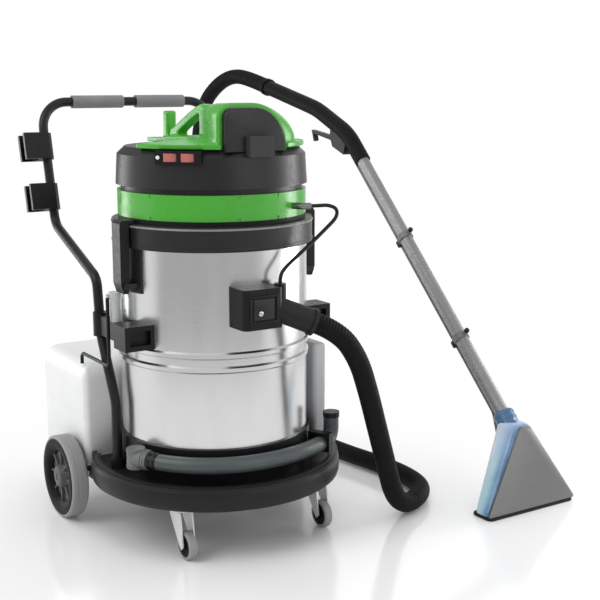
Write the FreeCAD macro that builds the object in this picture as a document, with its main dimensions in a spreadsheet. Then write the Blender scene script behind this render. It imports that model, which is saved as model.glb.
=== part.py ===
"""Carpet cleaner: a spray-extraction machine with its drum, trolley, suction hose and floor wand.

Lengths are millimetres and angles degrees. +Z is up. The front of the machine faces -Y, its push handle is
at +Y and its wand stands on the +X side. The row's origin is on the floor, under the middle of the whole
object without its hose; each place in this file is counted from the drum's axis, and node() moves it over.
"""
import FreeCAD, Part
import Sketcher
import math
import os
import re
from types import SimpleNamespace

V = FreeCAD.Vector
ALONG_X = FreeCAD.Rotation(V(0, 1, 0), 90)
AGAINST_X = FreeCAD.Rotation(V(0, 1, 0), -90)
ALONG_Y = FreeCAD.Rotation(V(1, 0, 0), -90)
UPRIGHT = FreeCAD.Rotation()
SIDES = ((-1, "left"), (1, "right"))

SIZES = {
    # trolley: a moulded dish that carries the drum, and a rear shelf that carries the tank
    "base_margin": 24,
    "base_under": 115,
    "base_height": 50,
    "base_wall": 5,
    "base_rim": 10,
    "deck_drop": 13,
    "base_back": 132,
    "seat_gap": 6,
    "shelf_width": 500,
    "shelf_back": 412,
    "shelf_height": 10,
    # rear wheels on one axle
    "axle_radius": 10,
    "axle_y": 197,
    "wheel_radius": 96,
    "wheel_width": 42,
    "wheel_gap": 8,
    "rim_radius": 78,
    "rim_wall": 6,
    "rim_edge": 4,
    "web_height": 10,
    "hub_radius": 24,
    "axle_post_width": 16,
    "axle_post_inset": 25,
    "axle_post_depth": 40,
    "axle_post_wall": 5,
    "running_gap": 0.05,
    "clearance": 0.3,
    # swivel casters under the front
    "caster_x": 171.5,
    "caster_y": -160,
    "caster_trail": 27,
    "caster_radius": 31,
    "caster_width": 20,
    "fork_gap": 25,
    "fork_wall": 3,
    "fork_head": 48,
    "caster_boss_radius": 26,
    "caster_boss_drop": 8,
    "stem_radius": 5,
    "stem_length": 22,
    "stem_room": 2,
    "caster_pin_radius": 4,
    # push handle, bent from one tube
    "handle_tube_radius": 11,
    "handle_tube_wall": 2,
    "leg_gap": 3,
    "foot_y": 33,
    "foot_z": 128,
    "knee_z": 300,
    "waist_y": 104,
    "waist_z": 440,
    "step_y": 120,
    "step_z": 568,
    "elbow_y": 360,
    "elbow_z": 664,
    "bar_y": 431,
    "bar_z": 950,
    "knee_bend": 60,
    "step_bend": 36,
    "elbow_bend": 46,
    "bar_bend": 66,
    "socket_radius": 15.5,
    "socket_height": 46,
    "grip_radius": 15.5,
    "grip_length": 132,
    "grip_from_middle": 18,
    "hook_upper": 187,
    "hook_lower": 66,
    "hook_height": 62,
    "hook_depth": 46,
    "hook_reach": 58,
    "hook_slot_radius": 18,
    "hook_mouth": 26,
    "hook_sleeve_radius": 16,
    # brackets between the drum and the handle's legs
    "bracket_low": 441,
    "bracket_height": 53,
    "bracket_lap": 28,
    "bracket_width": 78,
    "bracket_wall": 11,
    "bracket_front": -89,
    "bracket_depth": 59,
    "bracket_recess": 14,
    "arm_width": 16,
    "arm_rise": 4,
    "arm_height": 44,
    "clamp_radius": 17,
    # drum
    "drum_radius": 210,
    "drum_wall": 2,
    "drum_floor": 198,
    "drum_top": 701,
    "foot_thickness": 6,
    "foot_lap": 6,
    "foot_top": 229,
    "bead_low": 402,
    "bead_high": 432,
    "bead_out": 4,
    "bead_half": 8,
    "rim_proud": 12,
    "rim_lap": 12,
    "rim_low": 653,
    "rim_top": 705,
    # latches that hold the head down
    "latch_y": -25,
    "latch_width": 40,
    "latch_gap": 1,
    "latch_thickness": 21,
    "latch_low": 557,
    "latch_top": 713,
    "latch_pivot_depth": 9,
    "latch_pivot_z": 573,
    "latch_pin_radius": 3,
    "latch_ear": 5,
    "latch_nose_gap": 1.5,
    "latch_toe": 5,
    "latch_nose_thick": 7,
    "latch_plate": 4.5,
    "latch_plate_margin": 10,
    # suction inlet on the drum's front
    "inlet_x": -22,
    "inlet_z": 538,
    "inlet_width": 96,
    "inlet_height": 85,
    "inlet_reach": 52,
    "inlet_bore": 20,
    "spigot_radius": 25,
    "spigot_reach": 22,
    "inlet_corner": 14,
    "port_x": 32,
    "port_setback": 27,
    "port_radius": 13,
    "port_low": 546,
    "port_top": 584,
    "cuff_x": 18,
    "cuff_setback": 28,
    "cuff_z": 533,
    "cuff_end_x": 100,
    "cuff_end_z": 497,
    "cuff_end_wall": 4,
    "cuff_radius": 27,
    "cuff_ring_radius": 30,
    "cuff_ring_length": 9,
    "cuff_bore": 19,
    "hose_radius": 23,
    # drain
    "drain_angle": 64,
    "drain_leave": 30,
    "drain_run": 121,
    "drain_straight": 40,
    "drain_socket_gap": 2,
    "drain_turn_radius": 28,
    "drain_z": 203,
    "drain_gap": 22,
    "drain_body_radius": 20,
    "drain_body_height": 44,
    "drain_stub_radius": 10,
    "drain_stub_z": 211,
    "drain_stub_inside": 12,
    "drain_socket_radius": 21,
    "drain_socket_depth": 20,
    "drain_hose_radius": 17.5,
    "drain_hose_wall": 3.5,
    "drain_dip_z": 187,
    "drain_end_z": 242,
    "clip_block_along": 62,
    "clip_block_width": 20,
    "clip_block_low": 175,
    "clip_block_height": 43,
    "clip_block_out": 262,
    "plug_flange": 19,
    "plug_height": 12,
    "plug_depth": 16,
    # solution tank round the back of the drum
    "tank_half": 262,
    "tank_front": 138,
    "tank_back": 420,
    "tank_top": 365,
    "tank_gap": 10,
    "tank_wall": 4,
    "tank_corner": 60,
    "tank_front_corner": 16,
    "tank_edge": 12,
    "filler_y": 330,
    "filler_radius": 28,
    "cap_radius": 34,
    "cap_height": 18,
    # solution filter, pump and their tube
    "filter_shift": 2,
    "filter_y": 14,
    "filter_bowl_radius": 13,
    "filter_bowl_height": 50,
    "filter_cap_radius": 15,
    "filter_cap_height": 14,
    "tank_tube_radius": 4,
    "tank_tube_z": 390,
    "tank_tube_bend": 13,
    "pump_case_width": 35,
    "pump_case_gap": 7,
    "pump_case_front": -75,
    "pump_case_back": 5,
    "pump_case_top": 398,
    "pump_case_wall": 3,
    "pump_case_edge": 9,
    "pump_radius": 12,
    "pump_height": 130,
    # motor head
    "seal_width": 8,
    "seal_inset": 1,
    "seal_height": 10,
    "ring_inset": 2,
    "ring_wall": 10,
    "ring_height": 54,
    "ring_floor": 5,
    "suction_eye": 28,
    "notch_size": 7,
    "notch_depth": 1.5,
    "notch_near": 13,
    "notch_far": 66,
    "neck_inset": 8,
    "neck_height": 12,
    "shell_proud": 3,
    "shell_taper": 4,
    "shell_shoulder_z": 846,
    "shell_shoulder": 17,
    "shell_top": 862,
    "shell_wall": 4,
    "cap_plate_inset": 8,
    "cap_plate_height": 20,
    "cap_plate_back": -36,
    "tongue_half": 55,
    "tongue_proud": 3,
    "hood_setback": 31,
    "hood_left": -84,
    "hood_right": 88,
    "hood_top": 956,
    "hood_waist_y": -70,
    "hood_end_y": 34,
    "carry_bar_half": 13,
    "carry_bar_height": 19,
    "carry_bar_drop": 7,
    "carry_bar_setback": 31,
    "carry_bar_low_z": 886,
    "tail_depth": 22,
    "tail_top": 932,
    "panel_depth": 16,
    "panel_left": -75,
    "panel_right": 80,
    "panel_top": 946,
    "vent_x": 3,
    "vent_width": 58,
    "vent_low": 846,
    "vent_height": 43,
    "vent_proud": 5,
    "switch_angle": 47,
    "bezel_width": 100,
    "bezel_low": 833,
    "bezel_height": 27,
    "bezel_proud": 3,
    "bezel_depth": 18,
    "rocker_width": 28,
    "rocker_height": 17,
    "rocker_gap": 0.8,
    "rocker_left": -18,
    "rocker_right": 20,
    "rocker_depth": 6,
    "rocker_tilt": 10,
    "rocker_edge": 4.5,
    "rocker_crown": 7,
    "rocker_back": 4,
    "lamp_radius": 4,
    "lamp_place": -43,
    "gland_angle": 162,
    "gland_z": 815,
    "gland_radius": 10,
    "gland_length": 30,
    "gland_bore": 4,
    "coupling_angle": 28,
    "coupling_turn": 43.5,
    "coupling_z": 738,
    "coupling_radius": 7,
    "coupling_reach": 20,
    "coupling_length": 20,
    # what the head holds inside
    "fan_case_radius": 70,
    "fan_case_height": 34,
    "motor_radius": 52,
    "motor_height": 88,
    "shaft_radius": 4,
    "fan_radius": 60,
    "fan_lift": 8,
    "fan_case_wall": 5,
    "fan_height": 16,
    "cage_radius": 55,
    "cage_wall": 3,
    "cage_low": 560,
    "cage_flange": 66,
    "cage_slot": 22,
    "float_radius": 38,
    # floor wand, leaning back from its nozzle
    "wand_x": 643,
    "wand_lean": 45.7,
    "wand_foot_y": -304,
    "wand_foot_z": 175,
    "wand_tube_radius": 17,
    "wand_tube_wall": 1.5,
    "wand_tube_start": 6,
    "wand_tube_short": 60,
    "grip_straight": 103,
    "grip_bend": 975,
    "grip_middle_back": 155.2,
    "grip_middle_rise": 65,
    "grip_bend_radius": 190,
    "grip_end_wall": 4,
    "wand_end_back": 279,
    "wand_end_rise": 62,
    "wand_grip_radius": 22,
    "wand_ring_radius": 26,
    "wand_ring_length": 13,
    "valve_width": 34,
    "valve_length": 66,
    "valve_height": 30,
    "valve_back": 19.2,
    "valve_drop": 27,
    "trigger_back": 43.2,
    "trigger_drop": 18,
    "trigger_length": 126,
    "trigger_rise": 20,
    "trigger_width": 14,
    "trigger_height": 7,
    "trigger_hook": 26,
    "trigger_pin_radius": 3,
    "pipe_radius": 4,
    "pipe_offset": 27,
    "pipe_start": 72,
    "pipe_short": 23,
    "pipe_bend": 36,
    "solution_tube_radius": 4,
    "hose_straight": 58,
    "hose_over_far": 294,
    "hose_over_middle": 208,
    "hose_over_near": 102,
    "clip_low": 270,
    "clip_high": 595,
    "clip_length": 15,
    "clip_wall": 3.5,
    "knob_radius": 6,
    "knob_reach": 10,
    # fishtail nozzle
    "lip_length": 276,
    "lip_front": -381,
    "lip_depth": 67,
    "lip_height": 14,
    "slot_length": 252,
    "slot_depth": 26,
    "body_low_length": 264,
    "body_low_front": -376,
    "body_low_depth": 56,
    "body_top_length": 52,
    "body_top_front": -342,
    "body_top_depth": 74,
    "body_top_z": 200,
    "body_wall": 3,
    "collar_radius": 25,
    "collar_length": 54,
    "plate_height": 186,
    "plate_thickness": 3,
    "plate_low_half": 134,
    "plate_top_half": 15,
    "jet_y": -258,
    "jet_z": 82,
    "jet_radius": 9,
    "jet_length": 26,
}


def add_worked_out_sizes():
    """Numbers that follow from the ones above and that the sheet also keeps."""
    size = SIZES
    # round the drum
    drum = size["drum_radius"]
    size["foot_radius"] = drum + size["foot_thickness"]
    size["foot_inside"] = drum - size["foot_lap"]
    size["seat_radius"] = size["foot_radius"] + size["seat_gap"]
    size["rim_outside"] = drum + size["rim_proud"]
    size["rim_inside"] = drum - size["rim_lap"]
    size["handle_half"] = size["foot_radius"] + size["leg_gap"] + size["handle_tube_radius"]
    size["bracket_out"] = size["handle_half"] + size["bracket_lap"]
    size["bracket_inside"] = size["bracket_out"] - size["bracket_width"]
    size["latch_inside"] = size["rim_outside"] + size["latch_gap"]
    size["latch_out"] = size["latch_inside"] + size["latch_thickness"]
    size["latch_pivot_out"] = size["latch_inside"] + size["latch_pivot_depth"]
    size["inlet_front"] = -drum - size["inlet_reach"]
    size["spigot_end"] = size["spigot_reach"] - drum
    size["port_y"] = size["inlet_front"] + size["port_setback"]
    size["cuff_y"] = size["inlet_front"] + size["cuff_setback"]
    size["cuff_end_y"] = size["inlet_front"]
    size["drain_centre"] = size["foot_radius"] + size["drain_gap"]
    size["tank_hug"] = size["foot_radius"] + size["tank_gap"]
    size["filter_x"] = -size["handle_half"] - size["filter_shift"]
    size["tank_tube_out"] = size["handle_half"] + size["clamp_radius"] + size["tank_tube_radius"]
    size["pump_case_inside"] = size["foot_radius"] + size["pump_case_gap"]
    size["pump_case_out"] = size["pump_case_inside"] + size["pump_case_width"]
    size["base_radius"] = size["pump_case_out"] + size["base_margin"]
    size["axle_post_x"] = size["shelf_width"] / 2 - size["axle_post_inset"]
    size["wheel_inside"] = size["tank_half"] + size["wheel_gap"]
    # motor head
    size["ring_radius"] = drum - size["ring_inset"]
    size["latch_nose"] = size["ring_radius"] + size["latch_nose_gap"]
    size["seal_outside"] = size["ring_radius"] - size["seal_inset"]
    size["seal_inside"] = size["seal_outside"] - size["seal_width"]
    size["neck_radius"] = size["ring_radius"] - size["neck_inset"]
    size["shell_low_radius"] = size["ring_radius"] + size["shell_proud"]
    size["shell_high_radius"] = size["shell_low_radius"] - size["shell_taper"]
    size["shell_flat_radius"] = size["shell_high_radius"] - size["shell_shoulder"]
    size["cap_plate_radius"] = size["shell_low_radius"] - size["cap_plate_inset"]
    size["tongue_back"] = size["shell_low_radius"] + size["tongue_proud"]
    size["tail_front"] = size["tongue_back"] - size["tail_depth"]
    size["carry_bar_low_y"] = size["tongue_back"] - size["carry_bar_setback"]
    size["hood_front"] = -size["shell_low_radius"] + size["hood_setback"]
    size["vent_front"] = -size["shell_low_radius"] - size["vent_proud"]
    size["bezel_front"] = size["shell_low_radius"] + size["bezel_proud"]
    size["rocker_pivot"] = size["bezel_front"] - size["rocker_depth"]
    size["coupling_out"] = size["ring_radius"] + size["coupling_reach"]
    # the wand's grip, from its first bend
    lean = math.radians(size["wand_lean"])
    bend_y = size["wand_foot_y"] + size["grip_bend"] * math.sin(lean)
    bend_z = size["wand_foot_z"] + size["grip_bend"] * math.cos(lean)
    size["grip_start"] = size["grip_bend"] - size["grip_straight"]
    size["wand_tube_end"] = size["grip_bend"] - size["wand_tube_short"]
    size["pipe_end"] = size["grip_bend"] - size["pipe_short"]
    size["grip_middle_y"] = bend_y + size["grip_middle_back"]
    size["grip_middle_z"] = bend_z + size["grip_middle_rise"]
    size["wand_end_y"] = size["grip_middle_y"] + size["wand_end_back"]
    size["wand_end_z"] = size["grip_middle_z"] + size["wand_end_rise"]
    size["valve_y"] = bend_y + size["valve_back"]
    size["valve_z"] = bend_z - size["valve_drop"]
    size["trigger_y"] = bend_y + size["trigger_back"]
    size["trigger_z"] = bend_z - size["trigger_drop"]
    # the rest
    size["machine_x"] = (size["wheel_inside"] + size["wheel_width"] - size["wand_x"] - size["lip_length"] / 2) / 2
    size["deck_z"] = size["base_under"] + size["base_height"] - size["deck_drop"]
    size["leg_lean"] = math.degrees(math.atan2(size["bar_y"] - size["elbow_y"], size["bar_z"] - size["elbow_z"]))
    size["ring_low"] = size["rim_top"] + size["seal_height"]
    size["neck_low"] = size["ring_low"] + size["ring_height"]
    leave = math.radians(size["drain_leave"])
    size["drain_end_x"] = size["drain_centre"] * math.sin(leave) + size["drain_run"] * math.cos(leave)
    size["drain_end_y"] = size["drain_run"] * math.sin(leave) - size["drain_centre"] * math.cos(leave)
    plate_back = size["body_top_front"] - size["body_low_front"]
    size["plate_lean"] = math.degrees(math.atan2(plate_back, size["body_top_z"] - size["lip_height"]))
    grip_slope = math.atan2(size["wand_end_z"] - size["grip_middle_z"], size["wand_end_y"] - size["grip_middle_y"])
    grip_back = size["wand_end_y"] + size["wand_ring_radius"] * math.sin(grip_slope)
    size["machine_y"] = -(size["lip_front"] + grip_back) / 2


add_worked_out_sizes()


doc = FreeCAD.newDocument("carpet_cleaner")
sheet = doc.addObject("Spreadsheet::Sheet", "Sizes")
for line, (alias, value) in enumerate(SIZES.items(), 1):
    sheet.set(f"A{line}", alias)
    sheet.set(f"B{line}", str(value))
    sheet.setAlias(f"B{line}", alias)
doc.recompute()
# the sheet's cells as plain numbers, for what can't hold an expression
n = SimpleNamespace(**{alias: float(sheet.get(alias)) for alias in SIZES})
nodes = []


# ---------------------------------------------------------------- helpers


def bound(text):
    """An expression's text, with each size's name turned into its cell in the sheet."""
    return re.sub(r"[A-Za-z_]\w*", lambda found: ("Sizes." if found[0] in SIZES else "") + found[0], str(text))


def tie(obj, **properties):
    """Bind properties to expressions of the sizes."""
    for name, text in properties.items():
        obj.setExpression(name.replace("_dot_", "."), bound(text))
    return obj


def place(obj, x="0", y="0", z="0", turn=None):
    """Place an object, counted from the drum's axis and the floor."""
    obj.Placement = FreeCAD.Placement(V(), turn or UPRIGHT)
    return tie(obj, Placement_dot_Base_dot_x=x, Placement_dot_Base_dot_y=y, Placement_dot_Base_dot_z=z)


def lean(obj, axis, angle):
    """Turn a placed object about an axis through its own origin by a positive angle."""
    obj.Placement = FreeCAD.Placement(obj.Placement.Base, FreeCAD.Rotation(axis, 1))
    return tie(obj, Placement_dot_Rotation_dot_Angle=angle)


def round_drum(obj, angle, side):
    """Turn a piece made on the drum's front round the drum's axis: side -1 is towards its left."""
    return lean(place(obj), V(0, 0, side), angle)


def on_wand(obj):
    """Stand a piece made along +Z, its underside towards +Y, on the wand's foot and lean it back."""
    return lean(place(obj, "wand_x", "wand_foot_y", "wand_foot_z"), V(-1, 0, 0), "wand_lean")


def cylinder(name, radius, height):
    return tie(doc.addObject("Part::Cylinder", name), Radius=radius, Height=height)


def block(name, length, width, height):
    return tie(doc.addObject("Part::Box", name), Length=length, Width=width, Height=height)


def fuse(name, *parts):
    joined = doc.addObject("Part::MultiFuse", name)
    joined.Shapes = list(parts)
    joined.Refine = True
    return joined


def cut(name, base, *tools):
    """base without each of the tools."""
    for number, tool in enumerate(tools, 1):
        less = doc.addObject("Part::Cut", name if number == len(tools) else f"{name}_less_{number}")
        less.Base = base
        less.Tool = tool
        less.Refine = True
        base = less
    return base


def common(name, *parts):
    shared = doc.addObject("Part::MultiCommon", name)
    shared.Shapes = list(parts)
    return shared


def group(name, *parts):
    """Separate solids kept together."""
    several = doc.addObject("Part::Compound", name)
    several.Links = list(parts)
    return several


def rounded(name, base, radius, wanted):
    """base with the edges that wanted() picks rounded."""
    doc.recompute()
    fillet = doc.addObject("Part::Fillet", name)
    fillet.Base = base
    fillet.Edges = [(k, radius, radius) for k, edge in enumerate(base.Shape.Edges, 1) if wanted(edge)]
    return fillet


def is_upright(edge):
    """Whether an edge is a straight one along +Z."""
    box = edge.BoundBox
    return box.XLength < 0.01 and box.YLength < 0.01


def is_level_at(edge, height):
    """Whether an edge lies level at a height."""
    box = edge.BoundBox
    return abs(box.ZMin - height) < 0.01 and abs(box.ZMax - height) < 0.01


def node(obj, label):
    """Make an object one of the part's pieces, moved from the drum's axis to the row's origin."""
    home = group(label + "_home", obj)
    tie(home, Placement_dot_Base_dot_x="machine_x", Placement_dot_Base_dot_y="machine_y")
    home.Label = label
    nodes.append(home)
    return obj


def outline(body, role, corners, offset=None):
    """A closed outline of straight edges on one of the body's own planes, each corner bound to the sizes."""
    sketch = body.newObject("Sketcher::SketchObject", body.Name + "_outline")
    sketch.AttachmentSupport = [(next(f for f in body.Origin.OriginFeatures if f.Role == role), "")]
    sketch.MapMode = "FlatFace"
    count = len(corners)
    start = [V(math.cos(2 * math.pi * k / count), math.sin(2 * math.pi * k / count), 0) for k in range(count)]
    for k in range(count):
        sketch.addGeometry(Part.LineSegment(start[k], start[(k + 1) % count]), False)
    for k in range(count):
        sketch.addConstraint(Sketcher.Constraint("Coincident", k, 2, (k + 1) % count, 1))
    for k, corner in enumerate(corners):
        for kind, text in zip(("DistanceX", "DistanceY"), corner):
            index = sketch.addConstraint(Sketcher.Constraint(kind, -1, 1, k, 1, 1.0))
            sketch.setExpression(f"Constraints[{index}]", bound(text))
    if offset is not None:
        sketch.setExpression("AttachmentOffset.Base.z", bound(offset))
    return sketch


def turned(name, corners):
    """A body turned about its own +Z from an outline of (radius, height) corners."""
    body = doc.addObject("PartDesign::Body", name)
    sketch = outline(body, "XZ_Plane", corners)
    feature = body.newObject("PartDesign::Revolution", name + "_turn")
    feature.Profile = sketch
    feature.ReferenceAxis = (sketch, ["V_Axis"])
    feature.Angle = 360
    return body


def padded(name, role, corners, length, offset=None):
    """A body padded from an outline, half to each side of its plane, or of the plane moved by offset."""
    body = doc.addObject("PartDesign::Body", name)
    sketch = outline(body, role, corners, offset)
    feature = body.newObject("PartDesign::Pad", name + "_pad")
    feature.Profile = sketch
    feature.SideType = "Symmetric"
    return tie(feature, Length=length) and body


def lofted(name, role, sections):
    """A body through (offset along the plane's normal, outline) sections."""
    body = doc.addObject("PartDesign::Body", name)
    sketches = [outline(body, role, corners, offset) for offset, corners in sections]
    feature = body.newObject("PartDesign::AdditiveLoft", name + "_loft")
    feature.Profile = sketches[0]
    feature.Sections = sketches[1:]
    feature.Ruled = True
    return body


def route(points, radii):
    """A wire of straight runs through the points, joined by tangent arcs of the given radii."""
    edges = []
    reached = points[0]
    for before, corner, after, radius in zip(points, points[1:], points[2:], radii):
        into = (corner - before).normalize()
        away = (after - corner).normalize()
        half = into.getAngle(away) / 2
        reach = radius * math.tan(half)
        first = corner - into * reach
        last = corner + away * reach
        middle = corner + (away - into).normalize() * (radius / math.cos(half) - radius)
        if (first - reached).Length > 0.001:
            edges.append(Part.LineSegment(reached, first).toShape())
        edges.append(Part.Arc(first, middle, last).toShape())
        reached = last
    edges.append(Part.LineSegment(reached, points[-1]).toShape())
    return Part.Wire(edges)


def swept(points, radii, radius):
    """A round bar of that radius along the route."""
    circle = Part.Circle(points[0], points[1] - points[0], radius).toShape()
    return route(points, radii).makePipeShell([Part.Wire([circle])], True, False)


def piece(name, shape):
    """An object whose shape comes from Part's own functions."""
    obj = doc.addObject("Part::Feature", name)
    obj.Shape = shape
    obj.Placement = FreeCAD.Placement()
    return obj


def drum_point(angle, radius, z, along=0):
    """A point at an angle from the drum's front, towards its left, and along the tangent there."""
    sine = math.sin(math.radians(angle))
    cosine = math.cos(math.radians(angle))
    return V(-radius * sine + along * cosine, -radius * cosine - along * sine, z)


def wand_point(along, under=0):
    """A point along the wand's axis from its foot, and off the axis towards its underside."""
    sine = math.sin(math.radians(n.wand_lean))
    cosine = math.cos(math.radians(n.wand_lean))
    y = n.wand_foot_y + along * sine + under * cosine
    return V(n.wand_x, y, n.wand_foot_z + along * cosine - under * sine)


def cord(label, points, radius):
    """A cord's solid along its points. Prints its length, volume and bends."""
    radii = []
    for before, corner, after in zip(points, points[1:], points[2:]):
        shorter = min((corner - before).Length, (after - corner).Length)
        radii.append(0.45 * shorter / math.tan((corner - before).getAngle(after - corner) / 2))
    shape = swept(points, radii, radius)
    length = route(points, radii).Length
    share = shape.Volume / (math.pi * radius**2 * length)
    bends = " ".join(f"{bend / radius / 2:.1f}" for bend in radii)
    print(f"{label}: {length:.0f} long, volume {share:.4f} of section times length, bends {bends} diameters")
    node(piece(label + "_solid", shape), label)


# ---------------------------------------------------------------- trolley


def base_trolley():
    low = "base_under"
    deck = "(base_height - deck_drop)"
    dish = place(cylinder("dish", "base_radius", "base_height"), z=low)
    dish = rounded("dish_edge", dish, n.base_wall, lambda edge: edge.BoundBox.ZMax < n.base_under + 1)
    hollow = place(cylinder("dish_hollow", "base_radius - base_wall", f"{deck} - base_wall"), z=low)
    well = place(cylinder("dish_well", "base_radius - base_rim", "deck_drop"), z="deck_z")
    behind = place(
        block("dish_behind", "2 * base_radius", "base_radius", "base_height"), "-base_radius", "base_back", low
    )
    seat = place(cylinder("seat", "seat_radius", deck), z=low)
    seat_hollow = place(cylinder("seat_hollow", "seat_radius - base_wall", f"{deck} - base_wall"), z=low)
    shelf = place(
        block("shelf", "shelf_width", "shelf_back - base_back + base_wall", "shelf_height"),
        "-shelf_width / 2",
        "base_back - base_wall",
        low,
    )
    shelf_hollow = place(cylinder("shelf_hollow", "seat_radius - base_wall / 2", "shelf_height"), z=low)
    solids = [
        cut("dish_open", dish, hollow, well, behind),
        cut("seat_open", seat, seat_hollow),
        cut("shelf_open", shelf, shelf_hollow),
    ]
    holes = []
    for side, name in SIDES:
        boss = cylinder(f"boss_{name}", "caster_boss_radius", f"{deck} + caster_boss_drop")
        solids.append(place(boss, f"{side} * caster_x", "caster_y", "base_under - caster_boss_drop"))
        bore = cylinder(f"boss_bore_{name}", "stem_radius + running_gap", "stem_length + stem_room")
        holes.append(place(bore, f"{side} * caster_x", "caster_y", "base_under - caster_boss_drop"))
        post_x = f"{side} * axle_post_x - axle_post_width / 2"
        post_low = "(wheel_radius - axle_radius - axle_post_wall)"
        post = block(f"post_{name}", "axle_post_width", "axle_post_depth", f"base_under + base_wall - {post_low}")
        solids.append(place(post, post_x, "axle_y - axle_post_depth / 2", post_low))
        hole = cylinder(f"axle_hole_{name}", "axle_radius", "axle_post_width")
        holes.append(place(hole, post_x, "axle_y", "wheel_radius", ALONG_X))
        socket = cylinder(f"socket_{name}", "socket_radius", "socket_height")
        solids.append(place(socket, f"{side} * handle_half", "foot_y", "foot_z"))
        leg = cylinder(f"socket_bore_{name}", "handle_tube_radius", "socket_height")
        holes.append(place(leg, f"{side} * handle_half", "foot_y", "foot_z"))
    node(cut("trolley", fuse("trolley_whole", *solids), *holes), "base_trolley")


def rear_wheels():
    end = "(wheel_inside + wheel_width - 2 * rim_edge)"
    node(place(cylinder("axle", "axle_radius", f"2 * {end}"), f"-{end}", "axle_y", "wheel_radius", ALONG_X), "rear_axle")
    bore = "axle_radius + running_gap"
    inner = "wheel_width / 2 - web_height / 2"
    outer = "wheel_width / 2 + web_height / 2"
    dish = "rim_radius - rim_wall"
    shoulder = "(rim_radius + wheel_radius) / 2"
    for side, name in SIDES:
        where = (f"{side} * wheel_inside", "axle_y", "wheel_radius", ALONG_X if side > 0 else AGAINST_X)
        wheel = turned(
            f"rim_{name}",
            [
                (bore, "0"),
                ("hub_radius", "0"),
                ("hub_radius", inner),
                (dish, inner),
                (dish, "rim_edge"),
                ("rim_radius", "rim_edge"),
                ("rim_radius", "wheel_width - rim_edge"),
                (dish, "wheel_width - rim_edge"),
                (dish, outer),
                ("hub_radius", outer),
                ("hub_radius", "wheel_width"),
                ("0", "wheel_width"),
                ("0", "wheel_width - rim_edge"),
                (bore, "wheel_width - rim_edge"),
            ],
        )
        node(place(wheel, *where), f"wheel_{name}")
        tyre = turned(
            f"tread_{name}",
            [
                ("rim_radius", "rim_edge"),
                (shoulder, "0"),
                ("wheel_radius - rim_edge", "0"),
                ("wheel_radius", "rim_edge"),
                ("wheel_radius", "wheel_width - rim_edge"),
                ("wheel_radius - rim_edge", "wheel_width"),
                (shoulder, "wheel_width"),
                ("rim_radius", "wheel_width - rim_edge"),
            ],
        )
        node(place(tyre, *where), f"tyre_{name}")


def casters():
    top = "(base_under - caster_boss_drop - clearance)"
    lug = "2 * caster_pin_radius"
    for side, name in SIDES:
        x = f"{side} * caster_x"
        cheeks = padded(
            f"cheeks_{name}",
            "YZ_Plane",
            [
                ("fork_head / 2", f"{top} - fork_wall"),
                ("-fork_head / 2", f"{top} - fork_wall"),
                (f"-caster_trail - {lug}", "caster_radius"),
                ("-caster_trail", f"caster_radius - {lug}"),
                (f"-caster_trail + {lug}", "caster_radius"),
                ("fork_head / 2", f"{top} - fork_head / 3"),
            ],
            "fork_gap + 2 * fork_wall",
        )
        place(cheeks, x, "caster_y")
        gap = block(f"fork_gap_{name}", "fork_gap", "4 * fork_head", f"{top} - fork_wall")
        place(gap, f"{x} - fork_gap / 2", "caster_y - 2 * fork_head")
        head = place(cylinder(f"fork_head_{name}", "fork_head / 2", "fork_wall"), x, "caster_y", f"{top} - fork_wall")
        stem = place(cylinder(f"stem_{name}", "stem_radius", "stem_length"), x, "caster_y", top)
        pin = cylinder(f"pin_{name}", "caster_pin_radius", "fork_gap + 2 * fork_wall")
        place(pin, f"{x} - fork_gap / 2 - fork_wall", "caster_y - caster_trail", "caster_radius", ALONG_X)
        fork = fuse(f"fork_{name}", cut(f"fork_cheeks_{name}", cheeks, gap), head, stem, pin)
        node(fork, f"caster_fork_{name}")
        tread = "caster_radius - fork_wall"
        hub = "caster_radius / 2"
        roller = turned(
            f"roller_{name}",
            [
                ("caster_pin_radius + running_gap", "0"),
                (hub, "0"),
                (hub, "fork_wall"),
                (f"{tread} - fork_wall", "fork_wall"),
                (tread, "0"),
                ("caster_radius", "fork_wall"),
                ("caster_radius", "caster_width - fork_wall"),
                (tread, "caster_width"),
                (f"{tread} - fork_wall", "caster_width - fork_wall"),
                (hub, "caster_width - fork_wall"),
                (hub, "caster_width"),
                ("caster_pin_radius + running_gap", "caster_width"),
            ],
        )
        place(roller, f"{x} - caster_width / 2", "caster_y - caster_trail", "caster_radius", ALONG_X)
        node(roller, f"caster_wheel_{name}")


# ---------------------------------------------------------------- push handle


def handle_solid(radius):
    """The handle's bent bar: two legs and the cross bar."""
    corners = [
        (n.foot_y, n.foot_z),
        (n.foot_y, n.knee_z),
        (n.waist_y, n.waist_z),
        (n.step_y, n.step_z),
        (n.elbow_y, n.elbow_z),
        (n.bar_y, n.bar_z),
    ]
    bends = [n.knee_bend, n.knee_bend, n.step_bend, n.elbow_bend, n.bar_bend]
    points = [V(-n.handle_half, y, z) for y, z in corners] + [V(n.handle_half, y, z) for y, z in corners[::-1]]
    return swept(points, bends + bends[::-1], radius)


def push_handle():
    bar = piece("handle_bar", handle_solid(n.handle_tube_radius))
    inside = piece("handle_inside", handle_solid(n.handle_tube_radius - n.handle_tube_wall))
    node(cut("handle_tube", bar, inside), "push_handle")
    grips = []
    for side, name in SIDES:
        start = "grip_from_middle" if side > 0 else "-grip_from_middle - grip_length"
        foam = place(cylinder(f"foam_{name}", "grip_radius", "grip_length"), start, "bar_y", "bar_z", ALONG_X)
        grips.append(cut(f"grip_{name}", foam, bar))
    node(group("grips", *grips), "handle_grips")
    return bar


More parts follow.
